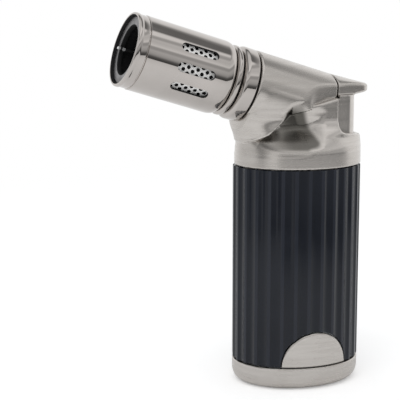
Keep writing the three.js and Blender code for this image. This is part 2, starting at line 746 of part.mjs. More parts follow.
function thumbButton() {
  const seamFoot = wingSeam + slideGap;
  const seamTop = seamFoot + seamLean;
  const lean = sideways([[seamFoot - seamLean, wingUnderFront - overrun], [seamFoot, shoulderRear],
    [seamTop, topZ(seamTop)], [seamTop, topZ(0)], [-overrun, topZ(0)],
    [-overrun, wingUnderFront - overrun]], -skirtHalfWidth - overrun, skirtHalfWidth + overrun);
  const wingHeights = [wingUnderFront - overrun, 2 * axisHeight];
  const wing = cut(wingBlank().intersect(upright(wingPlan(), ...wingHeights)), lean);
  const skirtTop = wingUnderFront + overrun;
  const skirtBottom = footBottom + footHeight;
  const rearBottom = ledgeHeight - skirtRearDrop;
  const inner = skirtPlaces(-skirtWall);
  inner[0][0] -= 2 * skirtWall;
  inner[inner.length - 1][0] -= 2 * skirtWall;
  const under = cut(upright(skirtPlaces(0), skirtBottom, skirtTop),
    upright(inner, skirtBottom - overrun, plungerTop + fitGap),
    block(footEnd, bodyHalfWidth, -bodyHalfDepth, bodyHalfDepth, skirtBottom - overrun, rearBottom),
    block(0, seamFoot, -bodyHalfDepth, bodyHalfDepth, shoulderRear - slideGap, skirtTop + overrun));
  const feet = mirrored(block(footStart, footEnd, -skirtHalfWidth, -skirtHalfWidth + skirtWall, footBottom,
    skirtBottom + overrun));
  return join(wing, under, feet);
}

// Nozzle rings and shell, in the burner axis's own frame
function collarRing() {
  const kneeRadius = mix(neckRadius, barrelRadius, collarShoulderShare);
  return turned([[barrelBore, collarStart], [barrelRadius, collarStart],
    [barrelRadius, collarEnd - collarFlare], [kneeRadius, collarEnd - collarFlare / 3],
    [neckRadius, collarEnd], [barrelBore, collarEnd]], barrelSides);
}

function beadRing() {
  const round = (beadEnd - beadStart) / 4;
  return turned([[barrelBore, beadStart], [neckRadius, beadStart], [beadRadius, beadStart + round],
    [beadRadius, beadEnd - round], [neckRadius, beadEnd], [barrelBore, beadEnd]], barrelSides);
}

// A slot with round ends, cut straight in from outside at one angle round the axis.
function slotCutter(angle, length, width) {
  const depth = shellWall + 2 * overrun;
  const cutter = toSolid(extruded(outline(slotOutline(length, width)), depth)
    .rotateX(Math.PI / 2).translate(0, barrelRadius + overrun, slotMiddle));
  return cutter.rotate([0, 0, THREE.MathUtils.radToDeg(angle) - 90]);
}

function slotOutline(length, width) {
  const places = [];
  const roundSteps = 5;
  const straight = (length - width) / 2;
  for (let i = 0; i <= 2 * roundSteps + 1; i += 1) {
    const end = i <= roundSteps ? 1 : -1;
    const turn = (Math.PI * (i <= roundSteps ? i : i - 1)) / roundSteps;
    places.push([(width / 2) * Math.cos(turn), end * straight + (width / 2) * Math.sin(turn)]);
  }
  return places;
}

// Angles round the burner axis of the slots: one group on each side of the nozzle.
const slotAngles = [-1, 1].flatMap((side) => Array.from({ length: slotsPerSide }, (_, i) =>
  side * (Math.PI / 2 + slotDrop) + (i - (slotsPerSide - 1) / 2) * slotSpread));

function nozzleShell() {
  const r = barrelRadius;
  const bandStart = shellEnd - mouthBandLength;
  const profile = [[shellBore, shellStart + shellRearRound], [barrelBore, shellStart + shellRearRound / 2],
    [barrelBore, shellStart], [neckRadius, shellStart]];
  const roundSteps = 4;
  for (let i = 1; i <= roundSteps; i += 1) {
    const angle = (Math.PI / 2) * (i / roundSteps);
    profile.push([neckRadius + (r - neckRadius) * Math.sin(angle),
      shellStart + shellRearRound * (1 - Math.cos(angle))]);
  }
  profile.push([r, bandStart - mouthGroove], [r - mouthGrooveDepth, bandStart - mouthGroove / 2],
    [r, bandStart], [r - mouthBandDip, (bandStart + shellEnd) / 2], [r, shellEnd - shellLipRound],
    [r - shellLipRound, shellEnd], [shellBore, shellEnd]);
  const shell = turned(profile, barrelSides);
  return cut(shell, ...slotAngles.map((angle) => slotCutter(angle, slotLength, slotWidth)));
}

// Perforated sheet behind the slots: staggered rows of six-sided holes where the slots show it.
function perforatedLiner() {
  const length = slotLength + 2 * linerMargin;
  const sheet = tube(linerOuter, linerOuter - linerWall, slotMiddle - length / 2, slotMiddle + length / 2,
    barrelSides);
  const depth = linerWall + 2 * overrun;
  const holes = [];
  const perRow = Math.floor(slotLength / linerHoleSpacing);
  for (const angle of slotAngles) {
    for (let row = 0; row < linerHoleRows; row += 1) {
      const fromMiddle = row - (linerHoleRows - 1) / 2;
      const odd = row % 2;
      for (let i = 0; i < perRow - 1 + odd; i += 1) {
        const along = slotMiddle + (i - (perRow - 2 + odd) / 2) * linerHoleSpacing;
        const turn = angle + (fromMiddle * linerRowStep) / linerOuter;
        const section = outline(ovalPlaces(linerHoleRadius, linerHoleRadius, holeSides));
        const hole = toSolid(extruded(section, depth).rotateX(Math.PI / 2)
          .translate(0, linerOuter + overrun, along));
        holes.push(hole.rotate([0, 0, THREE.MathUtils.radToDeg(turn) - 90]));
      }
    }
  }
  return cut(sheet, ...holes);
}

function flameTube() {
  const flangeRadius = shellBore - fitGap;
  return turned([[flameTubeBore, flameTubeStart], [flameTubeOuter, flameTubeStart],
    [flameTubeOuter, flameTubeEnd - flameFlange], [flangeRadius, flameTubeEnd - flameFlange],
    [flangeRadius, flameTubeEnd], [mouthBore, flameTubeEnd], [mouthBore, flameTubeEnd - flameFlange],
    [flameTubeBore, flameTubeEnd - flameFlange]], barrelSides);
}

const neckTube = () => tube(neckTubeOuter, neckTubeBore, neckTubeStart, neckTubeEnd, barrelSides);
const atElectrode = (solid) => solid.translate(0, electrodeOffset, 0);

function jetBlock() {
  const blockStart = jetDiscStart - jetBlockLength;
  const discEnd = jetDiscStart + jetDiscThickness;
  const barbPlace = jetDiscStart - jetBlockLength / 2;
  const solid = join(turned([[0, blockStart], [jetBlockRadius, blockStart], [jetBlockRadius, jetDiscStart],
    [neckTubeBore - fitGap, jetDiscStart], [neckTubeBore - fitGap, discEnd],
    [jetBlockRadius / 2, discEnd], [jetTipRadius, discEnd + jetTipLength],
    [0, discEnd + jetTipLength]], roundSides),
  rodBetween(barbRadius, [0, 0, barbPlace], [-jetBarbReach, 0, barbPlace]));
  const wireHole = atElectrode(rod(wireRadius + fitGap, jetDiscStart - overrun, discEnd + overrun));
  const gasWay = rodBetween(barbBore, [0, 0, barbPlace], [-jetBarbReach - overrun, 0, barbPlace], holeSides);
  const jet = rod(jetOrifice, barbPlace, discEnd + jetTipLength + overrun, holeSides);
  return cut(solid, wireHole, gasWay, jet);
}

const mixTubeStart = jetDiscStart + jetDiscThickness + fitGap;
const mixTubeEnd = mixTubeStart + mixTubeLength;

function mixingTube() {
  const holePlace = mixTubeStart + jetTipLength + airHoleRadius;
  const pipe = tube(mixTubeRadius, mixTubeRadius - mixTubeWall, mixTubeStart, mixTubeEnd, roundSides);
  const reach = mixTubeRadius + overrun;
  return cut(pipe, rodBetween(airHoleRadius, [-reach, 0, holePlace], [reach, 0, holePlace]),
    rodBetween(airHoleRadius, [0, -reach, holePlace], [0, reach, holePlace]));
}

const burnerStart = mixTubeEnd + fitGap;

function burnerHead() {
  const flangeStart = burnerStart + burnerFlangeThickness;
  const flangeEnd = flangeStart + burnerFlangeThickness;
  const flangeRadius = neckTubeBore - fitGap;
  const solid = turned([[0, burnerStart], [burnerRadius, burnerStart], [burnerRadius, flangeStart],
    [flangeRadius, flangeStart], [flangeRadius, flangeEnd], [burnerRadius, flangeEnd],
    [burnerRadius, burnerStart + burnerLength], [0, burnerStart + burnerLength]], roundSides);
  const mouthRadius = mixTubeRadius - mixTubeWall;
  const mouth = rod(mouthRadius, burnerStart - overrun, burnerStart + burnerLength - overrun, roundSides);
  const circle = mouthRadius - burnerHoleRadius - burnerHoleMargin;
  const holes = [];
  for (let i = 0; i < burnerHoleCount; i += 1) {
    const angle = (2 * Math.PI * i) / burnerHoleCount;
    holes.push(rod(burnerHoleRadius, burnerStart, burnerStart + burnerLength + overrun, holeSides)
      .translate(circle * Math.cos(angle), circle * Math.sin(angle), 0));
  }
  const insulatorHole = atElectrode(rod(insulatorRadius + fitGap, burnerStart - overrun,
    burnerStart + burnerLength + overrun));
  return cut(solid, mouth, insulatorHole, ...holes);
}

function ceramicInsulator() {
  const end = insulatorStart + insulatorLength;
  return atElectrode(tube(insulatorRadius, insulatorBore, insulatorStart, end));
}

const electrodeRod = () => atElectrode(rod(electrodeRadius, insulatorStart + fitGap, electrodeEnd));

// Gas tank, lid and the parts that stand on the lid
const screwEnd = screwHeadHeight + screwLength;
const spindleSeatRadius = spindleRadius + 2 * fitGap + oRingRadius;

function fuelTank() {
  const outside = oval(tankHalfWidth, tankHalfDepth, tankBottom, tankTop, innerOvalSides);
  const inside = oval(tankHalfWidth - tankWall, tankHalfDepth - tankWall, tankBottom + tankFloor,
    tankTop + overrun, innerOvalSides);
  const bossTop = screwEnd + fitGap + overrun;
  const boss = rod(screwHeadRadius + fitGap, tankBottom + overrun, bossTop).translate(0, screwPlace, 0);
  const screwHole = rod(screwRadius + fitGap, tankBottom - overrun, screwEnd + fitGap)
    .translate(0, screwPlace, 0);
  const fillHole = rod(fillRadius + fitGap, tankBottom - overrun, tankBottom + tankFloor + overrun)
    .translate(fillPlace, 0, 0);
  const dialHole = rod(spindleSeatRadius + fitGap, tankBottom - overrun, tankBottom + tankFloor + overrun)
    .translate(dialPlace, 0, 0);
  return cut(join(cut(outside, inside), mirrored(boss)), mirrored(screwHole), fillHole, dialHole);
}

function tankGasket() {
  const top = gasketBottom + gasketThickness;
  return cut(oval(tankHalfWidth, tankHalfDepth, gasketBottom, top, innerOvalSides),
    oval(tankHalfWidth - gasketBand, tankHalfDepth - gasketBand, gasketBottom - overrun, top + overrun,
      innerOvalSides));
}

const earInner = leverHalfWidth + fitGap;
const atValve = (solid) => solid.translate(-valveOffset, 0, 0);

function tankLid() {
  const plug = gasketBand + fitGap;
  const plate = join(oval(tankHalfWidth, tankHalfDepth, lidBottom, lidTop, innerOvalSides),
    oval(tankHalfWidth - plug, tankHalfDepth - plug, lidBottom - lidSpigot, lidBottom + overrun,
      innerOvalSides));
  const earTop = pivotHeight + earTopMargin;
  const earRound = earHalfLength / 2;
  const ear = sideways([[-earHalfLength, lidTop - overrun], [earHalfLength, lidTop - overrun],
    [earHalfLength, earTop - earRound], [earHalfLength - earRound, earTop],
    [earRound - earHalfLength, earTop], [-earHalfLength, earTop - earRound]],
  -earInner - earThickness, -earInner);
  const pinHole = rodBetween(pinRadius + fitGap, [0, -bodyHalfDepth, pivotHeight],
    [0, bodyHalfDepth, pivotHeight]);
  const socketFront = piezoMiddle - piezoHalfLength - fitGap;
  const socketSide = piezoHalfWidth + fitGap;
  const socketTop = lidTop + socketHeight;
  const socket = join(
    block(socketFront - socketWall, socketFront, -socketSide - socketWall, socketSide + socketWall,
      lidTop - overrun, socketTop),
    mirrored(block(socketFront - overrun / 2, piezoMiddle, -socketSide - socketWall, -socketSide,
      lidTop - overrun, socketTop)));
  const valveHole = rod(valveRadius + fitGap, lidBottom - lidSpigot - overrun, lidTop + overrun, roundSides);
  return cut(join(plate, mirrored(ear), socket), pinHole, atValve(valveHole));
}

function leverPin() {
  return rodBetween(pinRadius, [0, -earInner - earThickness, 0], [0, earInner + earThickness, 0]);
}

// Forked lever, level and with its pivot at the origin
function valveLever() {
  const half = leverThickness / 2;
  const plate = block(-leverFront, leverReach, -leverHalfWidth, leverHalfWidth, -half, half);
  const tip = rodBetween(leverTipRadius, [leverReach, -leverHalfWidth, 0], [leverReach, leverHalfWidth, 0]);
  const hub = rodBetween(hubRadius, [0, -leverHalfWidth, 0], [0, leverHalfWidth, 0], roundSides);
  const hubReach = hubRadius + overrun;
  const hubGap = cut(rodBetween(hubReach, [0, -hubInnerHalf, 0], [0, hubInnerHalf, 0], roundSides),
    block(-hubReach - overrun, hubReach + overrun, -leverHalfWidth, leverHalfWidth, -half, half));
  const rearSlot = block(leverSlotStart, leverReach + 2 * leverTipRadius, -leverSlotHalfWidth,
    leverSlotHalfWidth, -hubReach, hubReach);
  const forkSlot = block(-leverFront - overrun, 0, -forkHalfWidth, forkHalfWidth, -hubReach, hubReach);
  const bore = rodBetween(pinRadius + fitGap, [0, -bodyHalfDepth, 0], [0, bodyHalfDepth, 0]);
  return cut(join(plate, tip, cut(hub, hubGap)), rearSlot, forkSlot, bore);
}

const valveFloor = valveBottom + valveFloorThickness;

function gasValveBody() {
  const stemHole = stemRadius + fitGap;
  const nutBottom = lidTop + fitGap;
  const body = turned([[0, valveBottom], [valveRadius, valveBottom], [valveRadius, nutBottom],
    [valveNutRadius, nutBottom], [valveNutRadius, nutBottom + valveNutHeight],
    [valveRadius, nutBottom + valveNutHeight], [valveRadius, valveTop], [0, valveTop]], roundSides);
  const barbEnd = hosePlace + hoseBend + fitGap + valveOffset;
  const barb = rodBetween(barbRadius, [0, 0, valveBarbHeight], [barbEnd, 0, valveBarbHeight]);
  const hollow = rod(valveBore, valveFloor, valveTop - valveCap, roundSides);
  const stemWay = rod(stemHole, valveTop - valveCap - overrun, valveTop + overrun);
  const inlet = rod(barbBore, valveBottom - overrun, valveFloor + overrun, holeSides);
  const outlet = rodBetween(barbBore, [0, 0, valveBarbHeight], [barbEnd - overrun, 0, valveBarbHeight],
    holeSides);
  return atValve(cut(join(body, barb), hollow, stemWay, inlet, outlet));
}

const stemBottom = valveFloor + fitGap;
const stemFootTop = stemBottom + stemFootLift + stemFootHeight;

function gasValveStem() {
  return atValve(turned([[0, stemBottom], [stemFootRadius, stemBottom], [stemFootRadius, stemFootTop],
    [stemRadius, stemFootTop], [stemRadius, stemCollarBottom], [stemCollarRadius, stemCollarBottom],
    [stemCollarRadius, stemCollarBottom + stemCollarHeight],
    [0, stemCollarBottom + stemCollarHeight]]));
}

// A coil spring as one tube, with its own least gap measured on points along it.
class Coil extends THREE.Curve {
  constructor(radius, from, to, curls) {
    super();
    Object.assign(this, { radius, from, to, curls });
  }

  getPoint(t) {
    const angle = 2 * Math.PI * this.curls * t;
    return new THREE.Vector3(this.radius * Math.cos(angle), this.radius * Math.sin(angle),
      mix(this.from, this.to, t));
  }
}

function spring(name, radius, wire, from, to, curls) {
  const coil = new Coil(radius, from + wire, to - wire, curls);
  const steps = curls * stepsPerCurl;
  const shape = outline(ovalPlaces(wire, wire, curlSides));
  const points = Array.from({ length: steps + 1 }, (_, i) => coil.getPoint(i / steps));
  let least = Infinity;
  points.forEach((a, i) => points.slice(i + stepsPerCurl / 2 + 1).forEach((b) => {
    least = Math.min(least, a.distanceTo(b) - 2 * wire);
  }));
  console.log(`${name}: least gap between curls ${least.toFixed(2)} mm`);
  return toSolid(new THREE.ExtrudeGeometry(shape, { steps, extrudePath: coil, bevelEnabled: false }));
}

function piezoCase() {
  const bottom = lidTop + fitGap;
  const bevel = piezoHalfLength / 4;
  const hx = piezoHalfLength;
  const hy = piezoHalfWidth;
  const plan = [[-hx + bevel, -hy], [hx - bevel, -hy], [hx, -hy + bevel], [hx, hy - bevel],
    [hx - bevel, hy], [-hx + bevel, hy], [-hx, hy - bevel], [-hx, -hy + bevel]];
  const bore = rod(piezoBore, piezoTop - piezoBoreDepth, piezoTop + overrun, roundSides);
  return cut(upright(plan, bottom, piezoTop), bore).translate(piezoMiddle, 0, 0);
}

function piezoPlunger() {
  return rod(plungerRadius, piezoTop - plungerDepth, plungerTop, roundSides).translate(piezoMiddle, 0, 0);
}

// A flexible tube or wire with straight ends, along a smooth line through given places
function alongPath(places, radius, bore, steps, sides) {
  const toVector = (place) => (place.isVector3 ? place : new THREE.Vector3(...place));
  const curve = new THREE.CatmullRomCurve3(places.map(toVector));
  const section = outline(ovalPlaces(radius, radius, sides));
  if (bore > 0) section.holes.push(outline(ovalPlaces(bore, bore, sides).reverse()));
  return toSolid(new THREE.ExtrudeGeometry(section, { steps, extrudePath: curve, bevelEnabled: false }));
}

function gasHose() {
  const barbEnd = hosePlace + hoseBend;
  const jetPlace = jetDiscStart - jetBlockLength / 2;
  const bend = hoseBend;
  const jetEnd = -jetBarbReach - fitGap;
  const jetFoot = barrelPoint(jetEnd - bend, 0, jetPlace);
  return alongPath([[barbEnd, 0, valveBarbHeight], [barbEnd - bend / 2, 0, valveBarbHeight + bend / 8],
    [barbEnd - bend, 0, valveBarbHeight + bend], [barbEnd - bend - fitGap, 0, pivotHeight],
    [barbEnd - bend, 0, mix(pivotHeight, jetFoot.z, hoseRiseShare)], jetFoot,
    barrelPoint(jetEnd - bend / 4, 0, jetPlace), barrelPoint(jetEnd, 0, jetPlace)],
  hoseRadius, hoseBore, hoseSteps, holeSides);
}

function ignitionWire() {
  const caseFront = piezoMiddle - piezoHalfLength - fitGap - wireRadius;
  const exitHeight = lidTop + socketHeight + 2 * overrun;
  const [drop, side] = wirePass;
  return alongPath([[caseFront, 0, exitHeight - overrun], [caseFront - wireRadius, 0, exitHeight + overrun],
    [chamberRear - 2 * wireRadius, 0, pivotHeight + hubRadius],
    [chamberRear - 3 * wireRadius, 2 * wireRadius, ledgeHeight], [0, side, axisHeight - drop],
    barrelPoint(-2 * wireRadius, electrodeOffset - wireRadius, barrelLength / 6),
    barrelPoint(0, electrodeOffset, barrelLength / 2), barrelPoint(0, electrodeOffset, barrelLength),
    barrelPoint(0, electrodeOffset, insulatorStart - fitGap)],
  wireRadius, 0, wireSteps, curlSides);
}

// Underside fittings
const spindleBottom = baseFloor + 2 * fitGap;
const meteringTop = spindleBottom + spindleHeight + spindleSeatHeight;

function fillValveBody() {
  const top = fillRecess + fillLength;
  const flangeTop = baseFloor - fitGap;
  const flangeRadius = fillRadius + fillFlange;
  const body = turned([[0, fillRecess], [flangeRadius, fillRecess], [flangeRadius, flangeTop],
    [fillRadius, flangeTop], [fillRadius, top], [0, top]], roundSides);
  const hollow = rod(fillBore, fillRecess + fillPinSeatHeight, top - fillCap);
  const mouth = rod(fillPinRadius + fitGap, fillRecess - overrun, fillRecess + fillPinSeatHeight + overrun);
  const vent = rod(fillPinRadius, top - fillCap - overrun, top + overrun, holeSides);
  return cut(body, hollow, mouth, vent).translate(fillPlace, 0, 0);
}

const fillHeadFoot = fillRecess + fillPinSeatHeight + fitGap;
const fillHeadTop = fillHeadFoot + fillPinHeadHeight;

function fillValvePin() {
  const from = fillRecess + fillPinRecess;
  return turned([[0, from], [fillPinRadius, from], [fillPinRadius, fillHeadFoot], [fillPinHead, fillHeadFoot],
    [fillPinHead, fillHeadTop], [0, fillHeadTop]]).translate(fillPlace, 0, 0);
}

function flameDial() {
  const cornersPerTooth = 4;
  const places = ovalPlaces(dialRadius, dialRadius, cornersPerTooth * dialTeeth).map(([x, y], i) => {
    const scale = i % cornersPerTooth < cornersPerTooth / 2 ? 1 : 1 - dialToothDepth / dialRadius;
    return [x * scale, y * scale];
  });
  const knob = upright(places, dialRecess, baseFloor);
  const hub = rod(spindleRadius + fitGap + oRingRadius, baseFloor - fitGap, baseFloor + fitGap);
  const slot = block(-dialRadius - overrun, dialRadius + overrun, -dialSlotWidth / 2, dialSlotWidth / 2,
    dialRecess - overrun, dialRecess + dialSlotDepth);
  return cut(join(knob, hub), slot).translate(dialPlace, 0, 0);
}

function meteringSpindle() {
  const top = spindleBottom + spindleHeight;
  return turned([[0, spindleBottom], [spindleRadius, spindleBottom], [spindleRadius, top - spindleRadius],
    [0, top]]).translate(dialPlace, 0, 0);
}

function dialORing() {
  const wire = oRingRadius - fitGap / 2;
  const ringRadius = spindleRadius + fitGap / 2 + wire;
  const section = ovalPlaces(wire, wire, holeSides)
    .map(([across, up]) => [ringRadius + across, tankBottom + tankFloor / 2 + up]);
  return turned(section, roundSides).translate(dialPlace, 0, 0);
}

// Metering block over the dial, with the tube that takes gas up to the valve
function meteringBlock() {
  const body = rod(spindleSeatRadius + fitGap, tankBottom + tankFloor + fitGap, meteringTop, roundSides);
  const well = rod(spindleRadius + fitGap, tankBottom + tankFloor, meteringTop - spindleSeatHeight + fitGap);
  const outlet = rod(feedTubeBore, meteringTop - spindleSeatHeight, meteringTop + overrun, holeSides);
  return cut(body, well, outlet).translate(dialPlace, 0, 0);
}

// The feed tube's route, as shares of its way across in X and up in Z
const feedRouteShares = [[0, 0], [0, 0.12], [0, 0.33], [0.5, 0.6], [1, 0.83], [1, 0.94], [1, 1]];

function feedTube() {
  const places = feedRouteShares.map(([across, up]) =>
    [mix(dialPlace, -valveOffset, across), 0, mix(meteringTop + fitGap, valveBottom - fitGap, up)]);
  return alongPath(places, feedTubeRadius, feedTubeBore, feedTubeSteps, holeSides);
}

function baseScrew(side) {
  const head = fitGap;
  const screw = turned([[0, head], [screwHeadRadius, head], [screwHeadRadius, screwHeadHeight],
    [screwRadius, screwHeadHeight], [screwRadius, screwEnd], [0, screwEnd]]);
  const slot = block(-screwHeadRadius - overrun, screwHeadRadius + overrun, -screwSlotWidth / 2,
    screwSlotWidth / 2, head - overrun, head + screwSlotDepth);
  return cut(screw, slot).translate(0, side * screwPlace, 0);
}

// Finishes
function finish(color, roughness, metalness) {
  return () => new THREE.MeshStandardMaterial({ color, roughness, metalness });
}
const satinNickel = finish(0xb8b2ac, 0.38, 1);
const polishedNickel = finish(0x9a9490, 0.12, 1);
const blackGrip = finish(0x14191f, 0.35, 0);
const brightSheet = finish(0xd8d8d6, 0.2, 1);
const steel = finish(0x8d8f92, 0.3, 1);
const brass = finish(0xc2a25a, 0.3, 1);
const clearTank = finish(0xd9dde0, 0.3, 0);
const blackPlastic = finish(0x1b1b1c, 0.5, 0);
const rubber = finish(0x222222, 0.8, 0);
const ceramic = finish(0xe8e2d4, 0.5, 0);
const redWire = finish(0xa3231d, 0.5, 0);

const torch = new THREE.Group();
const burner = new THREE.Group();
burner.position.copy(barrelPlace);
burner.rotation.copy(barrelTurn);
torch.add(burner);

function add(group, name, solid, material) {
  const mesh = new THREE.Mesh(toGeometry(solid), material());
  mesh.name = name;
  group.add(mesh);
  return mesh;
}

add(torch, 'base_cup', baseCup(), satinNickel);
add(torch, 'grip_sleeve', gripSleeve(), blackGrip);
add(torch, 'half_moon_plate', halfMoonPlate(), satinNickel);
add(torch, 'head_casting', headCasting(), satinNickel);
add(torch, 'thumb_button', thumbButton(), satinNickel);
add(torch, 'fuel_tank', fuelTank(), clearTank);
add(torch, 'tank_gasket', tankGasket(), rubber);
add(torch, 'tank_lid', tankLid(), blackPlastic);
const lever = add(torch, 'valve_lever', valveLever(), steel);
lever.position.set(0, 0, pivotHeight);
lever.rotation.y = -leverAngle;
add(torch, 'lever_pin', leverPin(), steel).position.set(0, 0, pivotHeight);
add(torch, 'gas_valve_body', gasValveBody(), brass);
add(torch, 'gas_valve_stem', gasValveStem(), brass);
add(torch, 'gas_valve_spring', atValve(spring('gas_valve_spring', valveSpringRadius, valveSpringWire,
  stemFootTop + fitGap / 2, valveTop - valveCap - fitGap / 2, valveSpringCurls)), steel);
add(torch, 'gas_hose', gasHose(), rubber);
add(torch, 'piezo_case', piezoCase(), blackPlastic);
add(torch, 'piezo_plunger', piezoPlunger(), clearTank);
add(torch, 'return_spring', spring('return_spring', returnSpringRadius, returnSpringWire,
  piezoTop + fitGap / 2, plungerTop + fitGap / 2, returnSpringCurls).translate(piezoMiddle, 0, 0), steel);
add(torch, 'ignition_wire', ignitionWire(), redWire);
add(torch, 'fill_valve_body', fillValveBody(), brass);
add(torch, 'fill_valve_pin', fillValvePin(), brass);
add(torch, 'fill_valve_spring', spring('fill_valve_spring', fillSpringRadius, fillSpringWire,
  fillHeadTop + fitGap / 2, fillRecess + fillLength - fillCap - fitGap / 2, fillSpringCurls)
  .translate(fillPlace, 0, 0), steel);
add(torch, 'flame_dial', flameDial(), blackPlastic);
add(torch, 'metering_spindle', meteringSpindle(), brass);
add(torch, 'dial_o_ring', dialORing(), rubber);
add(torch, 'metering_block', meteringBlock(), brass);
add(torch, 'feed_tube', feedTube(), clearTank);
for (const [side, place] of [[-1, 'front'], [1, 'back']]) {
  add(torch, `base_screw_${place}`, baseScrew(side), steel);
}
add(burner, 'collar_ring', collarRing(), polishedNickel);
add(burner, 'bead_ring', beadRing(), polishedNickel);
add(burner, 'nozzle_shell', nozzleShell(), polishedNickel);
add(burner, 'perforated_liner', perforatedLiner(), brightSheet);
add(burner, 'flame_tube', flameTube(), steel);
add(burner, 'neck_tube', neckTube(), steel);
add(burner, 'jet_block', jetBlock(), brass);
add(burner, 'mixing_tube', mixingTube(), brass);
add(burner, 'burner_head', burnerHead(), brass);
add(burner, 'ceramic_insulator', ceramicInsulator(), ceramic);
add(burner, 'electrode_rod', electrodeRod(), steel);

export default torch;
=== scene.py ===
# %% [markdown]
# # A pocket butane torch, dressed in Blender
# The torch is an oval grip with a tilted burner on top. Its metal is cast zinc and turned brass,
# plated with nickel: satin on the big castings, mirror bright on the rings and the nozzle.
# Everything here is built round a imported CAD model, which gives each piece its place and the way it moves.

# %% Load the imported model
import math

import bpy
import numpy as np
from mathutils import Matrix, Vector


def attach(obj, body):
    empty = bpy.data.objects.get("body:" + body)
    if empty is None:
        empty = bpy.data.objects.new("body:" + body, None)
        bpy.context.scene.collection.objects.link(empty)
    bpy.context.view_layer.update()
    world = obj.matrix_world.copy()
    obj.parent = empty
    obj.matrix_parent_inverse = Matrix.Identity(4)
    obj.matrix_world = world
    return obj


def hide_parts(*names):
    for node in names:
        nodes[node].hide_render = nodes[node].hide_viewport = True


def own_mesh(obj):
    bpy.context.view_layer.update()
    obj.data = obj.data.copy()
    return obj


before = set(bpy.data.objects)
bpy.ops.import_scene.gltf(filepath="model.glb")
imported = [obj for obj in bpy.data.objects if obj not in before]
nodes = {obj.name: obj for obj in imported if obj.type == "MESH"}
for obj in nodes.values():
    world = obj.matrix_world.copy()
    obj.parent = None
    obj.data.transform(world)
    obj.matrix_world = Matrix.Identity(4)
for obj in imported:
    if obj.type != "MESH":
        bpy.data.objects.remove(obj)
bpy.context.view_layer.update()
scene = bpy.context.scene
MM = 0.001
print("pieces in the model:", len(nodes))

# %% [markdown]
# ## The camera
# The photograph was taken from the burner's left, turned 20 degrees towards the nozzle and raised 10,
# with a long lens. The place and lens below were fitted to the outlines, so no shift is needed.
# A camera could be aimed with a constraint instead, but a fixed turn says plainly where it looks.

# %% Place the camera
camera_lens = bpy.data.cameras.new("torch_camera")
camera_lens.lens = 115.9
camera_lens.sensor_width = 36
camera = bpy.data.objects.new("torch_camera", camera_lens)
scene.collection.objects.link(camera)
camera.location = Vector((-154.11, -337.57, 116.81)) * MM
looks_away_from = Vector((-0.3403, -0.9248, 0.1702))
camera.rotation_euler = looks_away_from.to_track_quat("Z", "Y").to_euler()
scene.camera = camera
scene.view_settings.view_transform = "Standard"
print("camera at", [round(v, 4) for v in camera.location])

# %% [markdown]
# ## Small helpers for node trees
# Materials, the world and many shapes are node trees. One helper adds a node and feeds its inputs, and a
# number in a tree can be added and multiplied like any other, so a formula reads as one.

# %% Nodes and the numbers in them
class Value:
    """A number in a node tree."""

    def __init__(self, tree, socket):
        self.tree, self.socket = tree, socket

    def math(self, operation, *others, clamp=False):
        return calc(self.tree, operation, self, *others, clamp=clamp)

    def __add__(self, other):
        return self.math("ADD", other)

    def __sub__(self, other):
        return self.math("SUBTRACT", other)

    def __rsub__(self, other):
        return calc(self.tree, "SUBTRACT", other, self)

    def __mul__(self, other):
        return self.math("MULTIPLY", other)

    def __truediv__(self, other):
        return self.math("DIVIDE", other)


def feed(tree, socket, value):
    """Give an input a plain value, a number of the tree, another socket or a node's first output."""
    if isinstance(value, Value):
        value = value.socket
    if isinstance(value, bpy.types.Node):
        value = value.outputs[0]
    if isinstance(value, bpy.types.NodeSocket):
        tree.links.new(value, socket)
    else:
        socket.default_value = value


def put(tree, kind, inputs=(), **settings):
    """Add a node with its options, and feed its inputs by label or number."""
    node = tree.nodes.new(kind)
    for key, value in settings.items():
        setattr(node, key, value)
    for label, value in dict(inputs).items():
        feed(tree, node.inputs[label], value)
    return node


def read(tree, kind, output=0, inputs=(), **settings):
    return Value(tree, put(tree, kind, inputs, **settings).outputs[output])


def calc(tree, operation, *values, clamp=False):
    return read(tree, "ShaderNodeMath", 0, dict(enumerate(values)), operation=operation, use_clamp=clamp)


def band(tree, value, low, high):
    """A soft step from 0 at low to 1 at high."""
    return read(tree, "ShaderNodeMapRange", 0, {"Value": value, "From Min": low, "From Max": high},
                interpolation_type="SMOOTHSTEP")


def mixed(tree, share, a, b, blend_type="MIX"):
    return put(tree, "ShaderNodeMix", {"Factor": share, "A": a, "B": b}, data_type="RGBA",
               blend_type=blend_type).outputs["Result"]


def vector(tree, x=0, y=0, z=0):
    return put(tree, "ShaderNodeCombineXYZ", {"X": x, "Y": y, "Z": z})


def ramp(tree, factor, stops):
    node = put(tree, "ShaderNodeValToRGB", {0: factor})
    points = node.color_ramp.elements
    while len(points) < len(stops):
        points.new(0.5)
    for point, (place, grey) in zip(points, stops):
        point.position = place
        point.color = (grey, grey, grey, 1)
    return node


# %% [markdown]
# ## The studio
# Bright nickel has no colour of its own to speak of: it shows the room. On the real table the room is
# white, with a dark strip behind the photographer and a lit ceiling panel. The world gives glossy rays
# that room as two ramps over height, one for the photographer's side and one for the far side. Two more go
# round the compass: one tells the sides apart, and one darkens the corner behind the photographer. The
# camera sees plain white, and diffuse light stays even. Cards could stand round the torch instead, but
# they would throw shadows, and the ramps are easier to tune.

# %% The room that the metal sees
def by_height(stops):
    return [((math.sin(math.radians(angle)) + 1) / 2, grey) for angle, grey in stops]


def by_compass(stops):
    return [((turn + 180) / 360, grey) for turn, grey in stops]


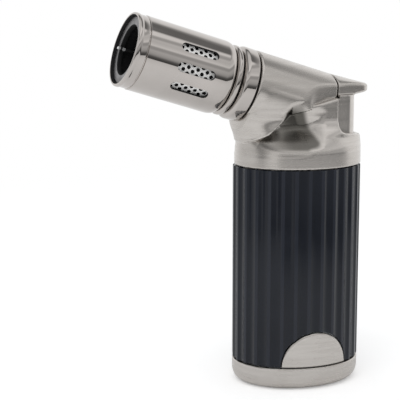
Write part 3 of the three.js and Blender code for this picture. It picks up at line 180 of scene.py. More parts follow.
near_side = by_height([(-90, 0.96), (-13, 0.93), (-11.5, 0.07), (-7, 0.1), (-4, 0.17), (0, 0.4), (4, 0.52),
                       (11, 0.6), (16, 0.44), (20, 0.46), (24, 0.9), (28, 0.8), (33, 0.72), (38, 0.75), (42, 0.5),
                       (45, 0.55), (48, 1), (62, 1), (90, 0.8)])
far_side = by_height([(-90, 0.96), (0, 1), (36, 1), (41, 0.85), (46, 0.38), (50, 0.2), (54, 0.2),
                      (59, 0.5), (66, 0.65), (76, 0.9), (90, 0.8)])
near_share = by_compass([(-180, 0), (-138, 0), (-126, 1), (-20, 1), (-10, 0), (180, 0)])
corner_shade = by_compass([(-180, 0.7), (-174, 0.5), (-168, 0.24), (-160, 0.24), (-152, 0.6), (-140, 0.9),
                           (-130, 1), (80, 1), (110, 0.9), (140, 0.7), (180, 0.7)])
shade_centre, shade_none, shade_full = 0.1, 0.7, 0.36
white = (1, 1, 1, 1)

studio = bpy.data.worlds.new("studio")
scene.world = studio
studio.use_nodes = True
sky = studio.node_tree
sky.nodes.clear()
direction = put(sky, "ShaderNodeSeparateXYZ", {0: read(sky, "ShaderNodeTexCoord", "Generated")}).outputs
height = calc(sky, "MULTIPLY_ADD", direction["Z"], 0.5, 0.5)
compass = calc(sky, "ARCTAN2", direction["Y"], direction["X"]).math("MULTIPLY_ADD", 1 / (2 * math.pi), 0.5)
room = mixed(sky, ramp(sky, compass, near_share), ramp(sky, height, far_side), ramp(sky, height, near_side))
off_level = calc(sky, "SUBTRACT", direction["Z"], shade_centre).math("ABSOLUTE")
shaded = mixed(sky, band(sky, off_level, shade_none, shade_full), room, ramp(sky, compass, corner_shade),
               "MULTIPLY")
even_light, seen_room, white_room = (put(sky, "ShaderNodeBackground", {"Color": colour})
                                     for colour in ((0.74, 0.745, 0.75, 1), shaded, white))
rays = put(sky, "ShaderNodeLightPath").outputs
by_gloss = put(sky, "ShaderNodeMixShader", {0: rays["Is Glossy Ray"], 1: even_light, 2: seen_room})
straight = calc(sky, "MAXIMUM", rays["Is Camera Ray"], rays["Is Transmission Ray"])
by_sight = put(sky, "ShaderNodeMixShader", {0: straight, 1: by_gloss, 2: white_room})
put(sky, "ShaderNodeOutputWorld", {"Surface": by_sight})
print("studio ramps over height:", len(near_side), "and", len(far_side), "stops")

# %% [markdown]
# ## Lamp and floor
# One broad lamp from the upper left adds gentle shape, and its own mirror image is switched off because
# the room already draws the reflections. The floor is a pale disc: matt round the torch, so that it takes
# a soft shadow, with a little glow of its own for the camera, and turning into plain white further out,
# where it meets the background. It ends where the real table does, and the nickel shows its dark edge.

# %% Lamp and floor
panel = bpy.data.lights.new("soft_panel", "AREA")
panel.shape = "DISK"
panel.size = 0.9
panel.energy = 3.4
panel_stand = bpy.data.objects.new("soft_panel", panel)
scene.collection.objects.link(panel_stand)
panel_stand.location = (-0.5, -0.55, 0.95)
panel_stand.rotation_euler = (panel_stand.location - Vector((0, 0, 0.05))).to_track_quat("Z", "Y").to_euler()
panel_stand.visible_glossy = False

floor_radius, matt_radius, floor_sides, floor_drop = 0.42, 0.13, 96, 0.02 * MM
own_glow, own_glow_mirrored, far_glow_mirrored = 0.27, 0.03, 0.8
floor_mesh = bpy.data.meshes.new("table")
floor_mesh.from_pydata([(floor_radius * math.cos(a), floor_radius * math.sin(a), -floor_drop)
                        for a in 2 * math.pi * np.arange(floor_sides) / floor_sides],
                       [], [list(range(floor_sides))])
table = bpy.data.objects.new("table", floor_mesh)
scene.collection.objects.link(table)
table_top = bpy.data.materials.new("pale_table")
table_top.use_nodes = True
top = table_top.node_tree
top.nodes.clear()
out_from_torch = read(top, "ShaderNodeVectorMath", "Value", {0: read(top, "ShaderNodeTexCoord", "Object")},
                      operation="LENGTH")
eye = put(top, "ShaderNodeLightPath").outputs
seen = calc(top, "MAXIMUM", eye["Is Camera Ray"], calc(top, "MAXIMUM", eye["Is Glossy Ray"],
                                                       eye["Is Transmission Ray"]))
near_glow = calc(top, "MULTIPLY_ADD", eye["Is Glossy Ray"], own_glow_mirrored - own_glow, seen * own_glow)
far_glow = calc(top, "MULTIPLY_ADD", eye["Is Glossy Ray"], far_glow_mirrored - 1, 1)
matt = put(top, "ShaderNodeBsdfDiffuse", {"Color": (0.95, 0.95, 0.95, 1)})
lit = put(top, "ShaderNodeAddShader",
          {0: matt, 1: put(top, "ShaderNodeEmission", {"Color": white, "Strength": near_glow})})
both = put(top, "ShaderNodeMixShader",
           {0: band(top, out_from_torch, matt_radius, 3 * matt_radius), 1: lit,
            2: put(top, "ShaderNodeEmission", {"Color": white, "Strength": far_glow})})
put(top, "ShaderNodeOutputMaterial", {"Surface": both})
floor_mesh.materials.append(table_top)
print("floor radius", floor_radius, "m, lamp", panel.energy, "W")

# %% [markdown]
# ## Finishes: what the materials share
# Four effects come back on many pieces, so each is a node group with named sizes. The brushed grain is
# noise squeezed into fine level lines, as a belt leaves it. Handling marks are broad, faint smudges and
# a few hair scratches. The worn edge is taken from the mesh's own sharpness. The pebble is the skin that a
# mould or a lacquer leaves. Groups put out only masks and heights, and each material keeps its own shader.

# %% Groups for grain, marks, worn edges and skin
def new_group(name, inputs, outputs):
    tree = bpy.data.node_groups.new(name, "ShaderNodeTree")
    for label, value in inputs.items():
        tree.interface.new_socket(label, in_out="INPUT", socket_type="NodeSocketFloat").default_value = value
    for label in outputs:
        tree.interface.new_socket(label, in_out="OUTPUT", socket_type="NodeSocketFloat")
    given = put(tree, "NodeGroupInput").outputs
    return tree, [Value(tree, given[label]) for label in inputs], put(tree, "NodeGroupOutput").inputs


def stretched_noise(tree, across, along, detail=3.0, turn=None):
    place = read(tree, "ShaderNodeTexCoord", "Object")
    if turn:
        place = put(tree, "ShaderNodeVectorRotate", {"Vector": place, "Rotation": turn},
                    rotation_type="EULER_XYZ")
    scaled = put(tree, "ShaderNodeVectorMath", {0: place, 1: vector(tree, along, along, across)},
                 operation="MULTIPLY")
    return read(tree, "ShaderNodeTexNoise", "Fac", {"Vector": scaled, "Scale": 1, "Detail": detail})


grain, (lines, run), go = new_group("brushed grain", {"Lines per metre": 7000, "Run per metre": 260},
                                    ["Height", "Streak"])
feed(grain, go["Height"], stretched_noise(grain, lines, run, 4))
feed(grain, go["Streak"], band(grain, stretched_noise(grain, lines * 0.16, run * 0.3, 2), 0.3, 0.7))

marks, (smudges, scratches), go = new_group("handling marks", {"Smudges per metre": 55, "Scratches": 0.5},
                                            ["Smudge", "Scratch"])
feed(marks, go["Smudge"], band(marks, stretched_noise(marks, smudges, smudges, 3), 0.35, 0.7))
hair = [band(marks, stretched_noise(marks, 7000, 120, 1, turn), 0.72, 0.76) for turn in
        ((0.5, 0.9, 0.3), (1.9, 0.4, 1.2))]
feed(marks, go["Scratch"], calc(marks, "MAXIMUM", *hair) * scratches)

worn, (starts_at, full_at), go = new_group("worn edge", {"Starts at": 0.53, "Full at": 0.6}, ["Edge"])
feed(worn, go["Edge"], band(worn, read(worn, "ShaderNodeNewGeometry", "Pointiness"), starts_at, full_at))

pebble, (grains,), go = new_group("moulded skin", {"Grains per metre": 5200}, ["Height", "Dust"])
feed(pebble, go["Height"], stretched_noise(pebble, grains, grains, 2))
feed(pebble, go["Dust"], band(pebble, stretched_noise(pebble, 160, 160, 4), 0.45, 0.8))
print("node groups:", [g.name for g in bpy.data.node_groups])


# %% [markdown]
# ## The materials themselves
# Each finish is one shader with its own colour and gloss, and the groups above only shade it. Plated metal
# is full metal: satin nickel is a warm light grey with a level grain, bright nickel is darker and almost a
# mirror. The grip is black lacquer with a hint of blue. Even values sit on the shader's own sockets, so
# they survive an export.

# %% Build the materials
def stored(tree, label):
    """A value that the mesh carries."""
    return read(tree, "ShaderNodeAttribute", "Fac", attribute_name=label)


def finish(name, colour, marked, rough, rough_marked, metal=0.0, grain_lines=None, grain_depth=0.0,
           skin=None, skin_depth=0.0, edge=None, edge_share=0.5, edge_stored=None, scratches=0.4, smudges=55,
           **sockets):
    material = bpy.data.materials.new(name)
    material.use_nodes = True
    tree = material.node_tree
    shader = tree.nodes["Principled BSDF"].inputs
    shader["Metallic"].default_value = metal
    for label, value in sockets.items():
        shader[label.replace("_", " ")].default_value = value

    def use(group, sizes=()):
        return [Value(tree, socket) for socket in put(tree, "ShaderNodeGroup", sizes, node_tree=group).outputs]

    dirt, lift = use(marks, {"Smudges per metre": smudges, "Scratches": scratches})
    for group, size, count, depth in ((grain, "Lines per metre", grain_lines, grain_depth),
                                      (pebble, "Grains per metre", skin, skin_depth)):
        if count:
            height, shade = use(group, {size: count})
            dirt = dirt.math("MULTIPLY_ADD", 0.5, shade * 0.5)
            bump = {"Strength": 0.6, "Distance": depth * MM, "Height": height}
            feed(tree, shader["Normal"], put(tree, "ShaderNodeBump", bump))
    tone = mixed(tree, dirt, (*colour, 1), (*marked, 1))
    # The edge colour is real wear where it follows the mesh's sharpness, and a painted highlight where it follows
    # a stored value, as on the grip's lands.
    if edge:
        wear_and_sheen = stored(tree, edge_stored) if edge_stored else use(worn)[0]
        tone = mixed(tree, wear_and_sheen * edge_share, tone, (*edge, 1))
    feed(tree, shader["Base Color"], tone)
    feed(tree, shader["Roughness"], put(tree, "ShaderNodeMapRange", {
        "Value": dirt.math("ADD", lift, clamp=True), "To Min": rough, "To Max": rough_marked}))
    return material


satin_nickel = finish("satin_nickel", (0.60, 0.57, 0.54), (0.53, 0.50, 0.47), 0.22, 0.31, metal=1,
                      grain_lines=7000, grain_depth=0.004, scratches=0.2)
bright_nickel = finish("bright_nickel", (0.55, 0.515, 0.49), (0.50, 0.47, 0.445), 0.03, 0.06, metal=1,
                       scratches=0.1, smudges=80)
# The lacquer's edge colour follows the stored sheen value: the grip's lands are painted lighter, as painted
# highlights.
black_lacquer = finish("black_lacquer", (0.0032, 0.0050, 0.0100), (0.0060, 0.0085, 0.0155), 0.17, 0.26,
                       skin=5200, skin_depth=0.002, edge=(0.040, 0.045, 0.060), edge_share=0.28,
                       edge_stored="wear_and_sheen", Specular_IOR_Level=0.34)
bright_sheet = finish("bright_sheet", (0.95, 0.945, 0.93), (0.90, 0.89, 0.87), 0.35, 0.5, metal=0.1, smudges=400)
steel_wire = finish("steel_wire", (0.56, 0.56, 0.57), (0.44, 0.43, 0.42), 0.22, 0.36, metal=1, smudges=300)
brass = finish("turned_brass", (0.70, 0.50, 0.20), (0.58, 0.39, 0.15), 0.2, 0.34, metal=1, grain_lines=9000,
               grain_depth=0.003, smudges=200)
clear_plastic = finish("clear_tank", (0.80, 0.84, 0.86), (0.74, 0.79, 0.81), 0.18, 0.3, skin=2600,
                       skin_depth=0.004)
black_plastic = finish("black_plastic", (0.012, 0.012, 0.013), (0.022, 0.022, 0.022), 0.42, 0.55, skin=4200,
                       skin_depth=0.008, edge=(0.05, 0.05, 0.05))
rubber = finish("rubber", (0.016, 0.016, 0.017), (0.032, 0.031, 0.03), 0.68, 0.82, skin=3800, skin_depth=0.012)
ceramic = finish("ceramic", (0.80, 0.77, 0.69), (0.66, 0.62, 0.54), 0.3, 0.5, skin=6000, skin_depth=0.004)
red_wire = finish("red_wire", (0.42, 0.018, 0.014), (0.32, 0.014, 0.012), 0.38, 0.5, skin=2600,
                  skin_depth=0.004)
tube_steel = finish("tube_steel", (0.30, 0.295, 0.30), (0.22, 0.215, 0.215), 0.34, 0.5, metal=1, smudges=500,
                    skin=9000, skin_depth=0.006)
# Near-white metal for the spark rod's two bright bands, which are painted highlights; the rest of the rod is
# darkened.
spark_glint = finish("spark_glint", (0.9, 0.9, 0.9), (0.8, 0.8, 0.8), 0.12, 0.2, metal=0.6)
print("materials:", len(bpy.data.materials))

# %% [markdown]
# ## Painted shade in recesses, and soot
# The head's scoops get painted shade: the satin is darker there, standing for the shade that falls in them.
# How deep a point lies in a scoop is a value stored on the mesh, and the satin darkens by it.
# A flame leaves black soot on the metal round it. Soot is matt and no metal, so colour, gloss and metal all
# follow a second stored value, which also paints shade into the gaps by the collar, the slot walls, the
# sheet's holes and the tube behind them. A second shader could lie over the first, but one shader exports better.

# %% Paint shade into the recesses, and lay soot and painted shade over a finish
def overlaid(material, name, label, colour, blend_type="MIX"):
    """A copy of a finish whose colour follows a stored value."""
    copy = material.copy()
    copy.name = name
    tree = copy.node_tree
    shader = tree.nodes["Principled BSDF"].inputs
    share = stored(tree, label)
    feed(tree, shader["Base Color"], mixed(tree, share, shader["Base Color"].links[0].from_socket, colour,
                                           blend_type))
    return copy, tree, shader, share


# Soot where the flame reaches, and painted shade in gaps, slot walls and holes: where the stored value is set, the
# finish turns dark, matt and no metal.
def with_soot_and_shade(material, name, soot_and_shade_colour=(0.004, 0.004, 0.0045, 1), soot_and_shade_rough=0.7):
    copy, tree, shader, soot = overlaid(material, name, "soot", soot_and_shade_colour)
    feed(tree, shader["Roughness"], put(tree, "ShaderNodeMapRange", {
        "Value": soot, "To Min": shader["Roughness"].links[0].from_socket, "To Max": soot_and_shade_rough}))
    metal = shader["Metallic"].default_value
    feed(tree, shader["Metallic"], soot.math("MULTIPLY_ADD", -metal, metal))
    return copy


# Painted shade: the satin in the head's scoops is multiplied by this grey, where less light falls.
recess_shade_colour = (0.2, 0.2, 0.19, 1)
nickel_with_recess_shade = overlaid(satin_nickel, "satin_nickel_painted_shade_in_recesses", "recess_shade", recess_shade_colour, "MULTIPLY")[0]
# Copies that carry soot and painted shade, for the tubes, the shell, the sheet and the spark rod.
sooted, sooted_nickel, sooted_sheet, sooted_wire = (
    with_soot_and_shade(material, name) for material, name in (
        (tube_steel, "sooted_steel"), (bright_nickel, "sooted_nickel"), (bright_sheet, "sooted_sheet"),
        (spark_glint, "sooted_wire")))
print("sooted finishes:", [m.name for m in bpy.data.materials if m.name.startswith("sooted")])

# %% [markdown]
# ## Skinning the castings
# The head is one casting: an oval band that draws in to a boxy chin, two scooped sides, and a barrel that
# lies across the top and tapers into a tail. Subdivision could make it, but every blend would have to be
# guessed in the cage. Here the shape is written as distances instead: each form says how far a point is
# from it, forms are joined or cut with a small rounding, and the surface is laid where the distance is
# nought. The laying uses one vertex per grid cell, then slides each vertex onto the exact surface.

# %% Rounding rules and plain forms
def ease(t):
    t = np.clip(t, 0, 1)
    return t * t * (3 - 2 * t)


def blend_min(a, b, round_over):
    share = np.maximum(round_over - np.abs(a - b), 0) / round_over
    return np.minimum(a, b) - share * share * round_over / 4


def blend_max(a, b, round_over):
    return -blend_min(-a, -b, round_over)


def level_oval(x, y, half_x, half_y, power):
    px, py = np.abs(x) / half_x + 1e-6, np.abs(y) / half_y + 1e-6
    total = px ** power + py ** power
    reach = total ** (1 / power)
    slope = total ** (1 / power - 1) * np.hypot(px ** (power - 1) / half_x, py ** (power - 1) / half_y)
    return (reach - 1) / np.maximum(slope, 0.02)


def outline_distance(x, z, corners):
    best = np.full(np.broadcast(x, z).shape, np.inf)
    inside = np.zeros(best.shape, bool)
    for (ax, az), (bx, bz) in zip(corners, corners[1:] + corners[:1]):
        ex, ez = bx - ax, bz - az
        t = np.clip(((x - ax) * ex + (z - az) * ez) / (ex * ex + ez * ez), 0, 1)
        best = np.minimum(best, np.hypot(x - ax - t * ex, z - az - t * ez))
        crosses = (az > z) != (bz > z)
        inside ^= crosses & (x < ax + (z - az) * ex / (ez if ez else 1e-9))
    return np.where(inside, -best, best)


# %% Lay a mesh on a distance field
def surface_cells(values, starts, step):
    """One point for each grid cell that the surface crosses, and one face for each grid edge."""
    solid = values < 0
    count = sum(solid[i:i - 1 or None, j:j - 1 or None, k:k - 1 or None].astype(np.int8)
                for i, j, k in np.ndindex(2, 2, 2))
    cells = np.argwhere((count > 0) & (count < 8))
    number = np.full(count.shape, -1)
    number[tuple(cells.T)] = np.arange(len(cells))
    total, hits = np.zeros((len(cells), 3)), np.zeros(len(cells))
    for axis, one, two in np.ndindex(3, 2, 2):
        corner = np.zeros(3, int)
        corner[(axis + 1) % 3], corner[(axis + 2) % 3] = one, two
        ahead = corner + (np.arange(3) == axis)
        a, b = (values[tuple((cells + end).T)] for end in (corner, ahead))
        crossed = (a < 0) != (b < 0)
        t = np.where(crossed, a / np.where(crossed, a - b, 1), 0)
        total += (corner + np.outer(t, ahead - corner)) * crossed[:, None]
        hits += crossed
    points = (cells + total / hits[:, None]) * step + starts
    faces = []
    for axis in range(3):
        a, b = (np.take(solid, range(first, first + solid.shape[axis] - 1), axis) for first in (0, 1))
        across = [(axis + 1) % 3, (axis + 2) % 3]
        edges = np.argwhere(a != b)
        edges = edges[((edges[:, across] > 0) & (edges[:, across] < np.array(solid.shape)[across] - 1)).all(1)]
        quads = []
        for back in ((1, 1), (0, 1), (0, 0), (1, 0)):
            cell = edges.copy()
            cell[:, across] -= back
            quads.append(number[tuple(cell.T)])
        quads = np.stack(quads, 1)
        flip = ~a[tuple(edges.T)]
        quads[flip] = quads[flip][:, ::-1]
        faces.append(quads)
    return points, np.concatenate(faces)


def skin_field(name, field, low, high, step, material):
    starts = np.array(low, float)
    axes = [np.arange(low[i], high[i] + step, step) for i in range(3)]
    grid = np.meshgrid(*axes, indexing="ij", sparse=True)
    values = np.broadcast_to(field(*grid), tuple(len(a) for a in axes))
    points, faces = surface_cells(np.where(values == 0, 1e-9, values), starts, step)
    small = 0.02

    def slope_of(reach):
        return np.stack([field(*(points + e).T) - field(*(points - e).T) for e in np.eye(3) * reach], 1)

    for _ in range(4):
        here = field(*points.T)
        slope = slope_of(small) / (2 * small)
        away = here / np.maximum((slope ** 2).sum(1), 0.1)
        points -= np.clip(away, -step / 3, step / 3)[:, None] * slope
    mesh = bpy.data.meshes.new(name)
    mesh.from_pydata(points * MM, [], faces)
    mesh.shade_smooth()
    slope = slope_of(2 * small)
    mesh.normals_split_custom_set_from_vertices(slope / np.linalg.norm(slope, axis=1)[:, None])
    piece = bpy.data.objects.new(name, mesh)
    scene.collection.objects.link(piece)
    mesh.materials.append(material)
    print(f"{name}: {2 * len(faces)} triangles, "
          f"{np.round(points.min(0), 2).tolist()} to {np.round(points.max(0), 2).tolist()} mm")
    return piece


def points_of(piece):
    """The piece's own points in millimetres, as three rows."""
    corners = np.empty(3 * len(piece.data.vertices), np.float32)
    piece.data.vertices.foreach_get("co", corners)
    return corners.reshape(-1, 3).astype(float).T / MM


def store(piece, label, values, domain="POINT"):
    layer = piece.data.attributes.new(label, "FLOAT", domain)
    layer.data.foreach_set("value", np.asarray(values, np.float32))


def dress(piece, body, slot, *stands_for):
    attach(piece, body)
    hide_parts(*stands_for)


# %% [markdown]
# ## The head casting
# All sizes are in millimetres and are the CAD model's own: the oval body is 38 by 31, the barrel is 21
# across and leans 17.3 degrees, and the core behind it narrows to 20.4. The scoop on each side runs from
# a rim on the outside to a smaller floor inside, so its walls slope. The chin's ridge stays crisp, while the
# barrel flows into the scoop with a wide rounding, as a mould would have it.

# %% Sizes of the body and the barrel
body_half_x, body_half_y = 19.0, 15.5
head_bottom, ledge = 64.0, 72.0
axis_rise, tilt, barrel_radius, barrel_end = 81.57, math.radians(17.3), 10.5, 17.2
lean = math.tan(tilt)
notch = 0.44 * body_half_x
wing_seam, seam_lean = 0.485 * body_half_x, 0.3
barrel_rear, tail_level = -1.4, 83.2
slide_gap, pocket_top = 0.35, 79
cavity_half, cavity_top = (16.8, 13.3), 68.2
chamber_outline = [(-15, 64), (6.65, 64), (6.65, 74.2), (4.45, 79.9), (-8.36, 80.57), (-15, 74.2)]
chamber_half = 6
bore_radius, bore_step, bore_step_at, bore_start = 7.1, 1.8, 10, -1
spigot_outer, spigot_inner, spigot_low, spigot_high, spigot_rear = (17.2, 13.7), (15.9, 12.4), 60.5, 65, 7.03


def along_burner(x, z):
    """Distance out along the tilted burner axis, and height over it."""
    return (-x * math.cos(tilt) + (z - axis_rise) * math.sin(tilt),
            x * math.sin(tilt) + (z - axis_rise) * math.cos(tilt))


def barrel_top(x):
    return axis_rise - x * lean + barrel_radius / math.cos(tilt)


seam_x = -barrel_end * math.cos(tilt)
seam_z = axis_rise + barrel_end * math.sin(tilt)
seam_crown = barrel_top(wing_seam + seam_lean)
side_outline = [(seam_x - (seam_z - 62) * lean, 62), (seam_x, seam_z),
                (barrel_rear, axis_rise - barrel_rear * lean), (barrel_rear, 80.9), (notch, tail_level),
                (notch, 75.2), (notch + 0.12, 74.5), (notch + 0.45, 73.95), (notch + 1, 73.55),
                (notch + 1.7, 73.3), (21, ledge - 0.1), (21, 62)]
print("collar seam at x", round(seam_x, 2), "z", round(seam_z, 2))

# %% The scoop, the tail and the hollows
rim_shares = [(0.08, 0.2), (0.09, 0.3), (0.1, 0.41), (0.15, 0.565), (0.205, 0.69), (0.165, 0.81), (0.075, 0.9),
              (-0.04, 0.96), (-0.15, 0.985), (-0.3, 0.93), (-0.39, 0.84), (-0.48, 0.735), (-0.66, 0.6),
              (-0.86, 0.47), (-0.97, 0.4), (-1.1, 0.35), (-1.1, 0.2)]
floor_shares = [(-0.1, 0.2), (-0.1, 0.3), (-0.08, 0.41), (-0.07, 0.52), (-0.09, 0.62), (-0.14, 0.75),
                (-0.19, 0.86), (-0.21, 0.88), (-0.24, 0.885), (-0.29, 0.88), (-0.36, 0.8), (-0.44, 0.715),
                (-0.61, 0.57), (-0.77, 0.48), (-0.89, 0.42), (-1.1, 0.34), (-1.1, 0.2)]
scoop_depth = 2.5


def in_head(shares):
    return [(across * body_half_x, head_bottom + up * (axis_rise - head_bottom)) for across, up in shares]


def core_half(rise, depth):
    """Half the core's depth at a height, drawn in by the scoop's depth for the scoop's floor."""
    return body_half_y - 5.3 * ease((rise - 4) / (8 if depth else 9.8)) - depth * ease((rise - 3.6) / 8)


def core_section(x, y, z, depth):
    """Level section of the core, or of the scoop's floor in it."""
    rise = z - head_bottom
    inset = depth * ease((rise - 3.6) / 8)
    power = 2 + np.where(x < 0, 2 * ease((rise - 8) / 9), 1.6 * ease((rise - 8) / 3))
    chin = 1.9 * ease((rise - 5) / 9.5) - 0.45
    return level_oval(x, y, body_half_x - 0.35 * inset + np.where(x < 0, chin, 0), core_half(rise, depth), power)


def scoop(x, side, z):
    outer, inner = (core_half(z - head_bottom, depth) for depth in (0, scoop_depth))
    steep = np.clip((side - inner) / np.maximum(outer - inner, 0.8), 0, 1)
    walls = (1 - steep) * outline_distance(x, z, in_head(floor_shares)) \
        + steep * outline_distance(x, z, in_head(rim_shares))
    return blend_max(walls * 0.8, -core_section(x, side, z, scoop_depth), 0.4 + 1.4 * ease((x + 8) / 8))


def skirt_plan(x, side, grow):
    half_y, flat_end, rear = 8 + grow, 0.605 * body_half_x, 16.75 + grow
    straight = side - half_y
    curved = level_oval(x - flat_end, side, rear - flat_end, half_y, 2)
    return np.maximum(np.where(x < flat_end, straight, curved), notch + slide_gap - grow - x)


def tail_half(x):
    return 9.9 - 2.8 * (x - barrel_rear) / (wing_seam - barrel_rear) + 1.1 * (1 - ease((x + 5) / 8))


def seam_plane(x, z, gap):
    slope = seam_lean / (seam_crown - tail_level)
    return (x - wing_seam - gap - (z - tail_level) * slope) / math.hypot(1, slope)


# %% The head as one field
def head_field(x, y, z, scooped=True):
    side = np.abs(y)
    out, up = along_burner(x, z)
    core = blend_max(core_section(x, y, z, 0), outline_distance(x, z, side_outline), 0.8)
    around_axis = np.hypot(up, y)
    core = blend_max(core, (around_axis - barrel_radius - 2.9 * (barrel_end - out)) * 0.33, 0.5)
    core = blend_max(core, head_bottom - z, 0.3)
    barrel = blend_max(around_axis - barrel_radius, out - barrel_end, 0.7)
    full = blend_max(barrel, x - barrel_rear, 2.2)
    tail_floor = np.where(x < notch, 79.9 + (x - barrel_rear) * 2.3 / (notch - barrel_rear) - z, tail_level - z)
    tail = blend_max(blend_max(barrel, (side - tail_half(x)) * 0.967, 0.5), seam_plane(x, z, 0), 0.5)
    tail = blend_max(blend_max(tail, tail_floor, 0.4), -6 - x, 0.1)
    body = blend_min(core, full, 0.05 + 1.6 * ease((barrel_end - out) / 5))
    if scooped:
        body = blend_max(body, -scoop(x, side, z), 0.45 + 1.5 * ease((z - 77) / 2.5))
    body = np.minimum(body, tail)
    if not scooped:
        return body
    cavity = np.maximum(level_oval(x, y, *cavity_half, 2), z - cavity_top)
    chamber = np.maximum(outline_distance(x, z, chamber_outline), side - chamber_half)
    pocket = np.maximum(skirt_plan(x, side, slide_gap), z - pocket_top)
    bore = np.maximum(around_axis - bore_radius - bore_step * ease(out - bore_step_at), bore_start - out)
    for hollow in (cavity, chamber, pocket, bore):
        body = blend_max(body, -hollow, 0.35)
    ring = np.maximum(level_oval(x, y, *spigot_outer, 2), -level_oval(x, y, *spigot_inner, 2))
    ring = np.maximum(ring, np.maximum(spigot_low - z, z - spigot_high))
    return np.minimum(body, np.maximum(ring, x - spigot_rear))


head = skin_field("head", head_field, (-21, -16.2, 59.9), (20.2, 16.2, 98.2), 0.3,
                  satin_nickel)
hx, hy, hz = points_of(head)
# Painted shade in the scoops: how far a point lies under the unscooped surface, eased and faded towards the front,
# the rear and the bottom, darkens the satin.
under = np.where((np.abs(hy) > 7.4) & (hz > 67), -head_field(hx, hy, hz, scooped=False), 0)
recess_shade = ease((under - 0.05) / 0.6) * (1 - ease((hx + 2.5 - 0.32 * (79 - hz)) / 1.8))
recess_shade *= (0.55 + 0.45 * ease((hx + 13) / 7)) * (0.87 + 0.13 * ease((hz - 71) / 5))
store(head, "recess_shade", recess_shade)
head.data.materials[0] = nickel_with_recess_shade
# The share printed below is the share of the head that gets painted shade in its scoops.
print("share of the head that the buffing wheel missed:", round(float(recess_shade.mean()), 3))
dress(head, "torch_body", "satin_nickel", "head_casting")

# %% [markdown]
# ## The thumb button
# The wing that the thumb presses carries on the barrel's round top and flattens towards its end. Under it a
# hollow skirt, round at the back, slides in the head's pocket and pushes the lever with two feet. It is
# one casting too, so it is laid the same way, and it rides on the button's own body.

# %% The button as one field
wing_end, wing_corner = 21.2, 3.2
skirt_low, skirt_high, skirt_end = 66.56, 83.8, 82.85
hollow_half, hollow_flat_end, hollow_round, hollow_front, hollow_top = 6.6, 11.495, 3.855, 6, 77.8
opening_front, opening_top = 12.445, 71.6


def button_field(x, y, z):
    side = np.abs(y)
    front = wing_seam + slide_gap
    t = (x - front) / (wing_end - front)
    crown = (barrel_radius - np.sqrt(np.maximum(barrel_radius ** 2 - side ** 2, 1))) / math.cos(tilt)
    top = barrel_top(front) + (86.5 - barrel_top(front)) * t - crown * (1 - 0.85 * np.clip(t, 0, 1))
    bottom = 82.8 + 1.7 * t
    half_y = 9.9 - 2.8 * (front - barrel_rear) / (wing_seam - barrel_rear)
    half_y = half_y + (4.3 - half_y) * t
    plan = blend_max((side - half_y) * 0.97, x - wing_end, wing_corner)
    wing = blend_max(blend_max(z - top, plan, 0.9), bottom - z, 0.7)
    wing = blend_max(wing, -seam_plane(x, z, slide_gap), 0.4)
    skirt = blend_max(skirt_plan(x, side, 0), z - skirt_high, 0.3)
    skirt = blend_max(skirt, skirt_low - z, 0.3)
    skirt = blend_max(skirt, np.minimum(x - opening_front, opening_top - z), 0.3)
    behind = x > hollow_flat_end
    rounded = level_oval(x - hollow_flat_end, side, hollow_round, hollow_half, 2)
    hollow = np.maximum(rounded * behind + (side - hollow_half) * ~behind, z - hollow_top)
    skirt = blend_max(skirt, -np.maximum(hollow, hollow_front - x), 0.3)
    skirt = blend_max(skirt, np.minimum(front - x, z - skirt_end), 0.2)
    feet = np.maximum(np.maximum(np.abs(x - 11.16) - 1.28, np.abs(side - 7.3) - 0.7), np.abs(z - 66.31) - 1.25)
    return np.minimum(blend_min(wing, skirt, 0.5), feet)


button = skin_field("button", button_field, (7.6, -9.4, 64.5), (22, 9.4, 92), 0.24,
                    satin_nickel)
dress(button, "button", "satin_nickel", "thumb_button")

# %% [markdown]
# ## Base cup and half-moon plate
# The torch stands on a shallow oval cup with a rounded lower edge. Its floor has holes for the refill valve,
# the flame dial and two screws. The half-moon plate fills a window at the grip's lower edge and follows
# the oval. Both are satin castings without any rule that repeats, so they are laid from fields as well.

# %% Cup and plate
screw_y, fill_x, dial_x = 0.595 * body_half_y, 0.45 * body_half_x, -0.45 * body_half_x
cup_top, cup_floor, cup_pocket_half, cup_edge = 6.6, 2.4, (17.4, 13.9), 4.2
fill_hole_radius, dial_hole_radius, screw_hole_radius, screw_head_radius, screw_head_top = 4.2, 4.1, 1.2, 2.2, 1.6
plate_radius, plate_foot, plate_back_half = 9.9, 6.9, (17.5, 14)


def cup_field(x, y, z):
    body = blend_max(level_oval(x, y, body_half_x, body_half_y, 2), np.maximum(z - cup_top, -20), 0.35)
    body = blend_max(body, -z, cup_edge)
    pocket = np.maximum(level_oval(x, y, *cup_pocket_half, 2), cup_floor - z)
    fill_hole = np.hypot(x - fill_x, y) - fill_hole_radius
    dial_hole = np.hypot(x - dial_x, y) - dial_hole_radius
    from_screw = np.hypot(x, np.abs(y) - screw_y)
    screw_wide = np.maximum(from_screw - screw_head_radius, z - screw_head_top)
    screw_thin = from_screw - screw_hole_radius
    for hollow in (pocket, fill_hole, dial_hole, screw_wide, screw_thin):
        body = blend_max(body, -hollow, 0.35)
    return body


cup = skin_field("cup", cup_field, (-19.6, -16.1, -0.6), (19.6, 16.1, 7.2), 0.3,
                 satin_nickel)
dress(cup, "torch_body", "satin_nickel", "base_cup")


def plate_field(x, y, z):
    wall = blend_max(level_oval(x, y, body_half_x, body_half_y, 2), -level_oval(x, y, *plate_back_half, 2), 0.3)
    disc = np.maximum(np.hypot(x, z - plate_foot) - plate_radius, plate_foot - z)
    return np.maximum(blend_max(wall, disc, 0.55), y)


plate = skin_field("moon_plate", plate_field, (-10.4, -16, 6.4), (10.4, -11, 17.4), 0.16, satin_nickel)
dress(plate, "torch_body", "satin_nickel", "half_moon_plate")

